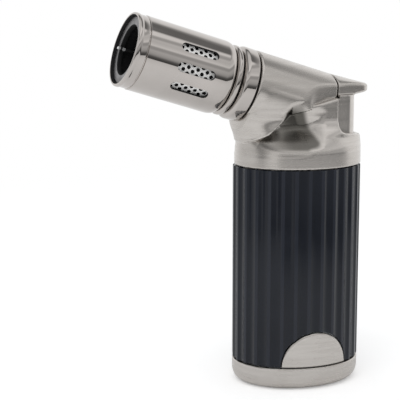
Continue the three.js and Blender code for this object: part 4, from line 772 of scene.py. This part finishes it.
# %% [markdown]
# ## Geometry Nodes: how the trees are built here
# Pieces that follow a rule are made by node trees: the fluted grip, the slots round the nozzle, the holes
# of the perforated sheet, the springs, the screws. Each tree has named inputs for its sizes, and its result
# is read back as a plain mesh, because the modifier has to be gone before the piece rides on the frame.

# %% Tree helpers
def shape_tree(name, sizes, body=None):
    """Start a tree with a named input for each size, and for the body that it cuts, if it cuts one."""
    tree = bpy.data.node_groups.new(name, "GeometryNodeTree")
    kinds = {int: "NodeSocketInt", float: "NodeSocketFloat", bpy.types.Material: "NodeSocketMaterial"}
    if body:
        tree.interface.new_socket(body, in_out="INPUT", socket_type="NodeSocketGeometry")
    for label, value in sizes.items():
        kind = next(k for k in kinds if isinstance(value, k))
        tree.interface.new_socket(label, in_out="INPUT", socket_type=kinds[kind])
    tree.interface.new_socket("Geometry", in_out="OUTPUT", socket_type="NodeSocketGeometry")
    given = put(tree, "NodeGroupInput").outputs
    return tree, {socket.name: Value(tree, socket) for socket in given if socket.name}


def end_tree(tree, geometry, material):
    painted = put(tree, "GeometryNodeSetMaterial", {"Geometry": realized(tree, geometry), "Material": material})
    put(tree, "NodeGroupOutput", {"Geometry": painted})


def realized(tree, geometry):
    return put(tree, "GeometryNodeRealizeInstances", {"Geometry": geometry})


def copied(tree, points, piece, **turned):
    return put(tree, "GeometryNodeInstanceOnPoints", {"Points": points, "Instance": piece, **turned})


def moved(tree, geometry, **how):
    return put(tree, "GeometryNodeTransform", {"Geometry": geometry, **how})


def cut(tree, body, tool, solver="EXACT"):
    return put(tree, "GeometryNodeMeshBoolean", {"Mesh 1": body, "Mesh 2": tool}, operation="DIFFERENCE",
               solver=solver)


def cylinder(tree, sides, radius, depth):
    return put(tree, "GeometryNodeMeshCylinder", {"Vertices": sides, "Radius": radius, "Depth": depth},
               fill_type="NGON")


def settle(piece, sharp):
    """Turn all faces outwards, judged by the sign of the enclosed volume, and smooth all but sharp edges."""
    mesh = piece.data
    mesh.calc_loop_triangles()
    corners = np.empty(len(mesh.loop_triangles) * 3, np.int32)
    mesh.loop_triangles.foreach_get("vertices", corners)
    a, b, c = (points_of(piece).T[corners[k::3]] for k in range(3))
    if (a * np.cross(b, c)).sum() < 0:
        mesh.flip_normals()
    mesh.shade_smooth()
    mesh.set_sharp_from_angle(angle=math.radians(sharp))
    print(f"{piece.name}: {sum(len(face.vertices) - 2 for face in mesh.polygons)} triangles")


def grow(name, tree, values, start_mesh=None, sharp=32):
    """Run a tree with its named inputs, and keep the result as a plain mesh object."""
    carrier = bpy.data.objects.new(name, start_mesh or bpy.data.meshes.new(name))
    scene.collection.objects.link(carrier)
    modifier = carrier.modifiers.new("shape", "NODES")
    modifier.node_group = tree
    for item in tree.interface.items_tree:
        if item.in_out == "INPUT" and item.name in values:
            modifier[item.identifier] = values[item.name]
    graph = bpy.context.evaluated_depsgraph_get()
    mesh = bpy.data.meshes.new_from_object(carrier.evaluated_get(graph), depsgraph=graph)
    carrier.modifiers.clear()
    carrier.data = mesh
    mesh.name = name
    settle(carrier, sharp)
    return carrier


# %% [markdown]
# ## The fluted grip
# The grip is a black sleeve with 28 shallow flutes between narrow lands, evenly spaced along the oval. Its
# outline follows one rule all the way round, so the tree draws an oval, spaces points evenly by length,
# pushes the points of each flute inwards by a half sine, and sweeps the wall's section along it. A window
# for the half-moon plate is cut last. The lands are painted a little lighter, as painted highlights along
# them, so each point keeps a value that says how near to the outer oval it lies.

# %% Grip tree
grip_sizes = {"Half length": body_half_x * MM, "Half depth": body_half_y * MM, "Middle height": 35.3 * MM,
              "Sleeve height": 56.8 * MM, "Wall": 1.5 * MM, "Flutes": 28, "Points per flute": 40,
              "Flute depth": 0.45 * MM, "Land share": 0.22, "Phase": 0.33, "Edge radius": 0.25 * MM,
              "Moon radius": 10.25 * MM, "Moon height": 6.9 * MM, "Lacquer": black_lacquer}
tree, gi = shape_tree("fluted sleeve", grip_sizes)
circle = put(tree, "GeometryNodeCurvePrimitiveCircle", {"Resolution": 720, "Radius": 1})
oval = moved(tree, circle, Scale=vector(tree, gi["Half length"], gi["Half depth"]))
even = put(tree, "GeometryNodeResampleCurve", {"Curve": oval, "Count": gi["Flutes"] * gi["Points per flute"]})
walk = read(tree, "GeometryNodeSplineParameter", "Factor")
start = gi["Land share"] * 0.5 - gi["Phase"]
share = (walk * gi["Flutes"] + (start + 1)).math("FRACT")
hollow = share.math("SUBTRACT", gi["Land share"], clamp=True) / (1 - gi["Land share"])
inward = (hollow * math.pi).math("SINE") * gi["Flute depth"]
place = put(tree, "ShaderNodeSeparateXYZ", {0: put(tree, "GeometryNodeInputPosition")}).outputs
facing_out = vector(tree, *(Value(tree, place[axis]) / (half * half) for axis, half in
                            (("X", gi["Half length"]), ("Y", gi["Half depth"]))))
unit = put(tree, "ShaderNodeVectorMath", {0: facing_out}, operation="NORMALIZE")
shift = put(tree, "ShaderNodeVectorMath", {0: unit, "Scale": inward * -1}, operation="SCALE")
fluted = put(tree, "GeometryNodeSetPosition", {"Geometry": even, "Offset": shift})
wall = put(tree, "GeometryNodeCurvePrimitiveQuadrilateral", {"Width": gi["Wall"], "Height": gi["Sleeve height"]})
soft_wall = put(tree, "GeometryNodeFilletCurve", {"Curve": wall, "Count": 3, "Radius": gi["Edge radius"]},
                mode="POLY")
section = moved(tree, soft_wall, Translation=vector(tree, gi["Wall"] * -0.5))
sleeve = put(tree, "GeometryNodeCurveToMesh", {"Curve": fluted, "Profile Curve": section})
raised = moved(tree, sleeve, Translation=vector(tree, z=gi["Middle height"]))
window = moved(tree, cylinder(tree, 96, gi["Moon radius"], gi["Half depth"]), Rotation=(math.pi / 2, 0, 0),
               Translation=vector(tree, y=gi["Half depth"] * -1, z=gi["Moon height"]))
end_tree(tree, cut(tree, raised, window, "MANIFOLD"), gi["Lacquer"])
grip = grow("grip", tree, grip_sizes, sharp=40)
gx, gy, _ = points_of(grip)
# Painted highlight: points on the outer oval, the lands, are marked, and the lacquer is painted lighter there,
# standing for light caught along the lands.
sheen_depth = 0.07
wear_and_sheen = 1 - ease(-level_oval(gx, gy, body_half_x, body_half_y, 2) / sheen_depth)
store(grip, "wear_and_sheen", wear_and_sheen)
print("share of the grip on the lands:", round(float(wear_and_sheen.mean()), 3))
dress(grip, "torch_body", "black_grip", "grip_sleeve")

# %% [markdown]
# ## Turned pieces
# Rings, tubes and the nozzle shell are turned on a lathe, and so they are here: a profile of radius and
# length, its corners softened by small arcs, is spun round the burner axis. A turned piece is made upright
# and then laid along the tilted axis in its mesh, so its object stays at the origin.

# %% Lathe
burner_axis = Matrix.Translation((0, 0, axis_rise * MM)) @ Matrix.Rotation(tilt - math.pi / 2, 4, "Y")


def softened(profile, radius, steps=4):
    """Round the corners of a closed profile."""
    soft = []
    for i, here in enumerate(profile):
        p, a, b = np.array(here), np.array(profile[i - 1]), np.array(profile[(i + 1) % len(profile)])
        da, db = np.linalg.norm(a - p), np.linalg.norm(b - p)
        reach = min(radius, 0.45 * da, 0.45 * db)
        first, last = p + (a - p) / da * reach, p + (b - p) / db * reach
        for t in (k / steps for k in range(steps + 1)):
            soft.append(tuple((1 - t) ** 2 * first + 2 * t * (1 - t) * p + t * t * last))
    return soft


def turn(name, profile, material, sides=128, place=None, sharp=35, soot=None):
    """Spin a closed profile of (radius, height) in millimetres into a mesh object."""
    angles = 2 * math.pi * np.arange(sides) / sides
    rings, points, faces = [], [], []
    for radius, length in profile:
        if radius < 1e-6:
            rings.append([len(points)] * sides)
            points.append((0, 0, length))
        else:
            rings.append(list(range(len(points), len(points) + sides)))
            points += [(radius * math.cos(a), radius * math.sin(a), length) for a in angles]
    for low, high in zip(rings, rings[1:] + rings[:1]):
        if low[0] == low[1] and high[0] == high[1]:
            continue
        for i in range(sides):
            j = (i + 1) % sides
            corners = [low[i], low[j], high[j], high[i]]
            faces.append([c for n, c in enumerate(corners) if c != corners[n - 1]])
    mesh = bpy.data.meshes.new(name)
    mesh.from_pydata([tuple(v * MM for v in p) for p in points], [], faces)
    piece = bpy.data.objects.new(name, mesh)
    scene.collection.objects.link(piece)
    if soot:
        store(piece, "soot", [soot(math.hypot(p[0], p[1]), p[2]) for p in points])
    mesh.transform(place or Matrix.Identity(4))
    mesh.materials.append(material)
    settle(piece, sharp)
    return piece


def carve(name, tree, values, profile, material, sides, sharp=32):
    """Turn a profile upright and let a tree cut it."""
    blank = turn(name + "_blank", profile, material, sides)
    piece = grow(name, tree, values, blank.data, sharp)
    bpy.data.objects.remove(blank)
    return piece


collar = turn("collar", softened([(8.9, 17.75), (10.5, 17.75), (10.5, 20.85), (10.2, 21.45), (9.4, 21.95),
                                  (8.9, 21.95)], 0.3), bright_nickel, place=burner_axis)
dress(collar, "torch_body", "polished_nickel", "collar_ring")
bead = turn("bead", softened([(8.9, 22.3), (9.4, 22.3), (10.1, 22.8), (10.1, 23.75), (9.4, 24.25), (8.9, 24.25)],
                             0.3), bright_nickel, place=burner_axis)
dress(bead, "torch_body", "polished_nickel", "bead_ring")
# The neck tube is darkened all over by the stored value: painted shade, so that the gaps beside the collar and the
# bead read dark.
neck = turn("neck", softened([(7.7, 11.5), (8.6, 11.5), (8.6, 31.0), (7.7, 31.0)], 0.1), sooted,
            place=burner_axis, soot=lambda radius, length: 0.9)
dress(neck, "torch_body", "steel", "neck_tube")

# %% [markdown]
# ## The slotted nozzle shell
# The shell is the torch's showpiece: a mirror-bright turned tube with a rounded shoulder, a grooved mouth
# band and three long slots on each side. The body is turned, and a tree cuts the slots, because they repeat
# round the axis. A mirror shows every flat facet, so afterwards each corner on the plain cylinder is given
# the exact direction away from the axis.

# %% Shell and its slots
shell_start, shell_end, band_length, shell_radius = 24.6, 54.3, 3.1, 10.5
slot_middle, slot_length = 36.1, 11.2
slots_per_side, slot_spread, slot_drop = 3, math.radians(31.5), math.radians(2.5)


def shell_profile():
    shoulder = [(9.4 + 1.1 * math.sin(a), 2.6 * (1 - math.cos(a))) for a in np.linspace(0.12, math.pi / 2, 12)]
    groove = [(shell_radius, -0.5), (10.42, -0.44), (10.15, -0.32), (10.15, -0.14), (10.3, -0.03), (10.34, 0.1),
              (10.32, 0.5 * band_length)]
    mouth = [(10.34, -1.25), (10.47, -1.05), (shell_radius, -0.95), (shell_radius, -0.45), (10.44, -0.2),
             (10.3, -0.05), (10.1, 0), (9.85, -0.02), (9.72, -0.12), (9.7, -0.3)]
    return [(radius, start + length) for start, corners in (
        (shell_start, [(9.7, 2.6), (8.9, 1.3), (8.9, 0), (9.4, 0)] + shoulder),
        (shell_end - band_length, groove), (shell_end, mouth)) for radius, length in corners]


def quotient(value, by):
    return ((value + 0.25) / by).math("FLOOR")


def slot_turn(gi, slot):
    """How far round the axis a slot lies, when the slots of both sides are counted through."""
    side = quotient(slot, gi["Slots per side"])
    from_middle = slot - side * gi["Slots per side"] - (gi["Slots per side"] - 1) * 0.5
    level = side.math("MULTIPLY_ADD", math.pi, math.pi / 2) + gi["Drop"] * side.math("MULTIPLY_ADD", -2, 1)
    return from_middle * gi["Spread"] + level


slot_sizes = {"Slots per side": slots_per_side, "Spread": slot_spread, "Drop": slot_drop,
              "Slot length": slot_length * MM, "Slot width": 2.6 * MM, "Slot middle": slot_middle * MM,
              "Radius": shell_radius * MM, "Cut depth": 3.6 * MM, "Nickel": sooted_nickel}
tree, gi = shape_tree("side slots", slot_sizes, "Turned body")
plan = put(tree, "GeometryNodeCurvePrimitiveQuadrilateral", {"Width": gi["Slot width"],
                                                             "Height": gi["Slot length"]})
round_ends = put(tree, "GeometryNodeFilletCurve", {"Curve": plan, "Count": 8, "Radius": gi["Slot width"] * 0.499},
                 mode="POLY")
filled = put(tree, "GeometryNodeFillCurve", {"Curve": round_ends}, mode="NGONS")
plug = put(tree, "GeometryNodeExtrudeMesh", {"Mesh": filled, "Offset Scale": gi["Cut depth"]}, mode="FACES")
closed = put(tree, "GeometryNodeJoinGeometry", {0: plug})
feed(tree, closed.inputs[0], put(tree, "GeometryNodeFlipFaces", {"Mesh": filled}))
whole = put(tree, "GeometryNodeMergeByDistance", {"Geometry": closed, "Distance": 1e-6})
upright = moved(tree, whole, Rotation=(math.pi / 2, 0, math.pi / 2),
                Translation=vector(tree, gi["Radius"] - gi["Cut depth"] * 0.5, z=gi["Slot middle"]))
spots = put(tree, "GeometryNodePoints", {"Count": gi["Slots per side"] * 2, "Position": (0, 0, 0)})
spin = vector(tree, z=slot_turn(gi, read(tree, "GeometryNodeInputIndex")))
cutters = realized(tree, copied(tree, spots, upright, Rotation=spin))
end_tree(tree, cut(tree, gi["Turned body"], cutters), gi["Nickel"])

# %% Cut the slots and true the mirror
shell = carve("shell", tree, slot_sizes, shell_profile(), bright_nickel, 180, sharp=30)


def leaning(face):
    """1 where a face looks straight away from the Z axis, -1 where it looks at it."""
    return face.normal.dot(Vector((face.center.x, face.center.y, 0)).normalized())


def true_cylinder(mesh, radius, low, high):
    """Corners on the plain cylinder get the direction straight away from the Z axis."""
    normals = [Vector(c.vector) for c in mesh.corner_normals]
    trued = 0
    for face in mesh.polygons:
        x, y, z = face.center
        plain = low < z < high and abs(face.normal.z) < 0.05 and abs(math.hypot(x, y) - radius) < 0.12 * MM
        if plain and leaning(face) > 0.99:
            for loop in face.loop_indices:
                place = mesh.vertices[mesh.loops[loop].vertex_index].co
                normals[loop] = Vector((place.x, place.y, 0)).normalized()
                trued += 1
    mesh.normals_split_custom_set(normals)
    return trued


print("corners trued:", true_cylinder(shell.data, shell_radius * MM, 28.7 * MM, 50.3 * MM))
# Soot on the shell's inside, and painted shade on the slot walls, where the shade in the slots falls: both are
# stored in one value.
slot_reach = slot_length / 2 + 0.2
sooty_and_shaded = [leaning(face) < -0.5
         or (abs(leaning(face)) < 0.9 and abs(face.center.z / MM - slot_middle) < slot_reach)
         for face in shell.data.polygons]
store(shell, "soot", sooty_and_shaded, "FACE")
print("sooty faces in the shell:", sum(sooty_and_shaded))
shell.data.transform(burner_axis)
dress(shell, "torch_body", "polished_nickel", "nozzle_shell")

# %% [markdown]
# ## The perforated sheet
# Behind the slots lies a bright sheet with staggered round holes that let air in to the flame. The holes
# repeat by a plain rule, so a tree sets small plugs in staggered rows where the slots show them, turns them
# round the axis and cuts them from the rolled sheet. Its back and the walls of its holes are painted dark
# as shade, so that the holes read black.

# %% Sheet tree
sheet_sizes = {"Radius": 9.15 * MM, "Thickness": 0.35 * MM, "Sheet length": 13.6 * MM,
               "Middle": slot_middle * MM, "Hole radius": 0.55 * MM, "Hole spacing": 2.8 * MM,
               "Row step": 0.88 * MM, "Rows": 4, "Holes per row": 5, "Slots per side": slots_per_side,
               "Spread": slot_spread, "Drop": slot_drop, "Sheet": sooted_sheet}
sheet_sides, hole_sides = 180, 14
tree, gi = shape_tree("perforated sheet", sheet_sizes)
lift = vector(tree, z=gi["Middle"])
outer = cylinder(tree, sheet_sides, gi["Radius"], gi["Sheet length"])
inner = cylinder(tree, sheet_sides, gi["Radius"] - gi["Thickness"], gi["Sheet length"] * 2)
rolled = cut(tree, moved(tree, outer, Translation=lift), moved(tree, inner, Translation=lift))
per_slot = gi["Rows"] * gi["Holes per row"]
number = read(tree, "GeometryNodeInputIndex")
slot = quotient(number, per_slot)
in_slot = number - slot * per_slot
row = quotient(in_slot, gi["Holes per row"])
column = in_slot - row * gi["Holes per row"]
odd = row - quotient(row, 2) * 2
from_row = row - (gi["Rows"] - 1) * 0.5
from_column = column - (gi["Holes per row"] - 1) * 0.5 + odd.math("MULTIPLY_ADD", 0.5, -0.25)
hole_turn = slot_turn(gi, slot) + from_row * gi["Row step"] / gi["Radius"]
spot = vector(tree, hole_turn.math("COSINE") * gi["Radius"], hole_turn.math("SINE") * gi["Radius"],
              from_column.math("MULTIPLY_ADD", gi["Hole spacing"], gi["Middle"]))
spots = put(tree, "GeometryNodePoints", {"Count": gi["Slots per side"] * 2 * per_slot})
set_out = put(tree, "GeometryNodeSetPosition", {"Geometry": spots, "Position": spot})
punch = cylinder(tree, hole_sides, gi["Hole radius"], gi["Thickness"] * 5)
punches = copied(tree, set_out, punch, Rotation=vector(tree, y=math.pi / 2, z=hole_turn))
end_tree(tree, cut(tree, rolled, realized(tree, punches)), gi["Sheet"])
sheet = grow("sheet", tree, sheet_sizes, sharp=30)
# Painted shade: the sheet's back and the walls of its holes are darkened, so that the holes read black.
store(sheet, "soot", [leaning(face) <= 0.9 for face in sheet.data.polygons], "FACE")
sheet.data.transform(burner_axis)
dress(sheet, "torch_body", "bright_sheet", "perforated_liner")

# %% [markdown]
# ## Flame tube, burner and spark rod
# Inside the shell sits the flame tube. Its flange shows as a flat grey ring at the mouth, and its bore is
# black with soot; its outside, seen through the sheet's holes, is painted dark as shade. In the bore stand
# the brass burner head with its flame holes and a ceramic rod that carries the spark wire. The rod is
# dark, as soot and painted shade, save for two bright bands near its tip that are painted highlights.

# %% The pieces in the bore
# Soot in the bore and painted shade on the outside, seen through the sheet's holes: all but the flange's front
# ring is darkened.
def tube_soot_and_shade(radius, length):
    on_flange = length > 53.2 and 7.2 < radius < 9.35
    return 0.0 if on_flange else 1.0


tube = turn("flame_tube_dressed", softened([(7.7, 31.3), (8.6, 31.3), (8.6, 52.1), (9.4, 52.1), (9.4, 53.4),
                                            (7.15, 53.4), (7.0, 53.2), (7.0, 52.1), (7.7, 52.1)], 0.08), sooted,
            place=burner_axis, soot=tube_soot_and_shade)
dress(tube, "torch_body", "steel", "flame_tube")

burner_rings = [(0, 26), (4.7, 26), (4.7, 28), (7.4, 28), (7.4, 30), (4.7, 30), (4.7, 34.6), (4.3, 35), (0, 35)]
burner_sizes = {"Flame holes": 8, "Ring radius": 1.8 * MM, "Hole radius": 0.45 * MM, "Face height": 35 * MM,
                "Brass": brass}
tree, gi = shape_tree("flame holes", burner_sizes, "Turned body")
ring = put(tree, "GeometryNodeMeshCircle", {"Vertices": gi["Flame holes"], "Radius": gi["Ring radius"]})
drills = copied(tree, ring, cylinder(tree, 16, gi["Hole radius"], gi["Face height"] * 0.2))
at_face = moved(tree, realized(tree, drills), Translation=vector(tree, z=gi["Face height"]))
end_tree(tree, cut(tree, gi["Turned body"], at_face), gi["Brass"])
burner = carve("burner", tree, burner_sizes, burner_rings, brass, 64)
burner.data.transform(burner_axis)
dress(burner, "torch_body", "brass", "burner_head")

# The rod is darkened all along as soot and painted shade, except two bright bands near its tip, which are painted
# highlights.
rod_axis = burner_axis @ Matrix.Translation((0, 6.2 * MM, 0))
rod_glint_marks = [24.3, 52.1, 52.2, 52.9, 53.0, 53.5, 53.6, 54.1]
stem = turn("spark_rod", [(0, 24.3), *((0.45, mark) for mark in rod_glint_marks), (0.38, 54.3), (0.2, 54.4), (0, 54.4)],
            sooted_wire, sides=24, place=rod_axis,
            soot=lambda radius, length: 0.0 if length > 53.55 or 52.15 < length < 52.95 else 1.0)
dress(stem, "torch_body", "steel", "electrode_rod")
insulator = turn("insulator", softened([(0.75, 24), (1.15, 24), (1.15, 44), (0.75, 44)], 0.15), ceramic,
                 sides=32, place=rod_axis)
dress(insulator, "torch_body", "ceramic", "ceramic_insulator")

# %% [markdown]
# ## Springs
# Three small coil springs push the button, the gas valve and the refill pin back. A spring is a spiral with
# its end turns closed up, swept with a round wire, so one tree makes all three.

# %% Spring tree
spring_sizes = {"Coil radius": 1.0, "Wire radius": 0.1, "Free length": 1.0, "Turns": 5.0, "Closed share": 0.07,
                "Steel": steel_wire}
tree, gi = shape_tree("coil spring", spring_sizes)
spiral = put(tree, "GeometryNodeCurveSpiral", {"Resolution": 48, "Rotations": gi["Turns"], "Height": 0,
                                               "Start Radius": gi["Coil radius"], "End Radius": gi["Coil radius"]})
travel = read(tree, "GeometryNodeSplineParameter", "Factor")
rise = read(tree, "ShaderNodeMapRange", 0, {"Value": travel, "From Min": gi["Closed share"],
                                            "From Max": 1 - gi["Closed share"]}, clamp=True)
closed_half = gi["Wire radius"] * 2.2 * 0.5
middle_rise = gi["Free length"] - gi["Wire radius"] * 2 - closed_half
climb = vector(tree, z=rise * middle_rise + travel * closed_half + gi["Wire radius"])
coil = put(tree, "GeometryNodeSetPosition", {"Geometry": spiral, "Offset": climb})
thread = put(tree, "GeometryNodeCurvePrimitiveCircle", {"Resolution": 12, "Radius": gi["Wire radius"]})
end_tree(tree, put(tree, "GeometryNodeCurveToMesh", {"Curve": coil, "Profile Curve": thread, "Fill Caps": True}),
         gi["Steel"])


def spring(name, node, radius, wire_radius, turns, place, low, high):
    sizes = {**spring_sizes, "Coil radius": radius * MM, "Wire radius": wire_radius * MM,
             "Free length": (high - low) * MM, "Turns": float(turns)}
    piece = grow(name, tree, sizes, sharp=60)
    piece.data.transform(Matrix.Translation((place * MM, 0, low * MM)))
    dress(piece, "torch_body", "steel", node)
    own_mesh(piece)


return_x = 0.635 * body_half_x
spring("return_coil", "return_spring", 2.6, 0.35, 5, return_x, 66.15, 77.65)
spring("valve_coil", "gas_valve_spring", 1.6, 0.25, 6, -3.4, 45.85, 55.95)
spring("refill_coil", "fill_valve_spring", 1.25, 0.2, 5, fill_x, 6.05, 11.45)

# %% [markdown]
# ## Under the base
# The underside holds what the user turns and fills: a toothed black dial with a screwdriver slot, a brass
# refill valve, and two slotted screws. The screws repeat, so a tree places them. The dial's rim is one
# outline with rounded teeth, so it is laid from a field like the castings.

# %% Screws
screw_sizes = {"Head radius": 1.9 * MM, "Slot width": 0.5 * MM, "Slot depth": 0.5 * MM, "Reach": screw_y * MM,
               "Bottom": 0.3 * MM, "Steel": steel_wire}
screw_profile = [(0, 0), (1.55, 0), (1.8, 0.08), (1.9, 0.3), (1.9, 1.0), (0.9, 1.0), (0.9, 5.0), (0.6, 5.2),
                 (0, 5.2)]
tree, gi = shape_tree("base screws", screw_sizes, "Turned screw")
blade = put(tree, "GeometryNodeMeshCube", {"Size": vector(tree, gi["Head radius"] * 3, gi["Slot width"],
                                                          gi["Slot depth"] * 2)})
which = read(tree, "GeometryNodeInputIndex").math("MULTIPLY_ADD", 2, -1)
pair = put(tree, "GeometryNodePoints", {"Count": 2, "Position": vector(tree, y=which * gi["Reach"],
                                                                       z=gi["Bottom"])})
screws = copied(tree, pair, cut(tree, gi["Turned screw"], blade),
                Rotation=vector(tree, z=which.math("MULTIPLY_ADD", 0.5, 0.9)))
end_tree(tree, screws, gi["Steel"])
base_screws = carve("base_screws", tree, screw_sizes, screw_profile, steel_wire, 48)
dress(base_screws, "torch_body", "steel", "base_screw_front", "base_screw_back")

# %% Dial and refill valve
knob_radius, knob_middle, knob_half = 3.64, 1.5, 0.9
tooth_count, tooth_height, dial_slot_half = 12, 0.15, 0.45
hub_radius, hub_middle, hub_half = 2.1, 2.4, 0.3


def dial_field(x, y, z):
    across = x - dial_x
    reach = np.hypot(across, y)
    teeth = tooth_height * np.cos(tooth_count * np.arctan2(y, across))
    knob = blend_max(reach - knob_radius - teeth, np.abs(z - knob_middle) - knob_half, 0.35)
    hub = np.maximum(reach - hub_radius, np.abs(z - hub_middle) - hub_half)
    slot = np.maximum(np.abs(y) - dial_slot_half, z - knob_middle)
    return blend_max(np.minimum(knob, hub), -slot, 0.2)


dial = skin_field("dial", dial_field, (dial_x - 4.2, -4.2, 0.2), (dial_x + 4.2, 4.2, 3.1), 0.12, black_plastic)
dress(dial, "dial", "black_plastic", "flame_dial")
refill_axis = Matrix.Translation((fill_x * MM, 0, 0))
refill = turn("refill_valve", softened([(1.0, 0.95), (1.5, 0.8), (3.9, 0.8), (3.9, 2.1), (2.9, 2.1), (2.9, 12.8),
                                        (1.0, 12.8)], 0.2), brass, sides=64, place=refill_axis)
pin = turn("refill_pin", [(0, 1.8), (0.55, 1.8), (0.7, 1.95), (0.7, 5.1), (1.35, 5.1), (1.35, 5.9), (0, 5.9)],
           brass, sides=32, place=refill_axis)
dress(refill, "torch_body", "brass", "fill_valve_body")
dress(pin, "fill_pin", "brass", "fill_valve_pin")

# %% [markdown]
# ## The works inside
# The tank, the valve, the lever and the igniter keep their CAD shapes, because their outlines are already
# right and they are seen only with the torch apart. They still get real finishes.

# %% Finishes for the works
inner_finish = {
    "fuel_tank": clear_plastic, "tank_gasket": rubber, "tank_lid": black_plastic, "valve_lever": steel_wire,
    "lever_pin": steel_wire, "gas_valve_body": brass, "gas_valve_stem": brass, "gas_hose": rubber,
    "piezo_case": black_plastic, "piezo_plunger": clear_plastic, "ignition_wire": red_wire,
    "metering_spindle": brass, "dial_o_ring": rubber, "metering_block": brass, "feed_tube": clear_plastic,
    "jet_block": brass, "mixing_tube": steel_wire,
}
for name, material in inner_finish.items():
    slots = nodes[name].data.materials
    slots.clear()
    slots.append(material)
print("inner pieces finished:", len(inner_finish))
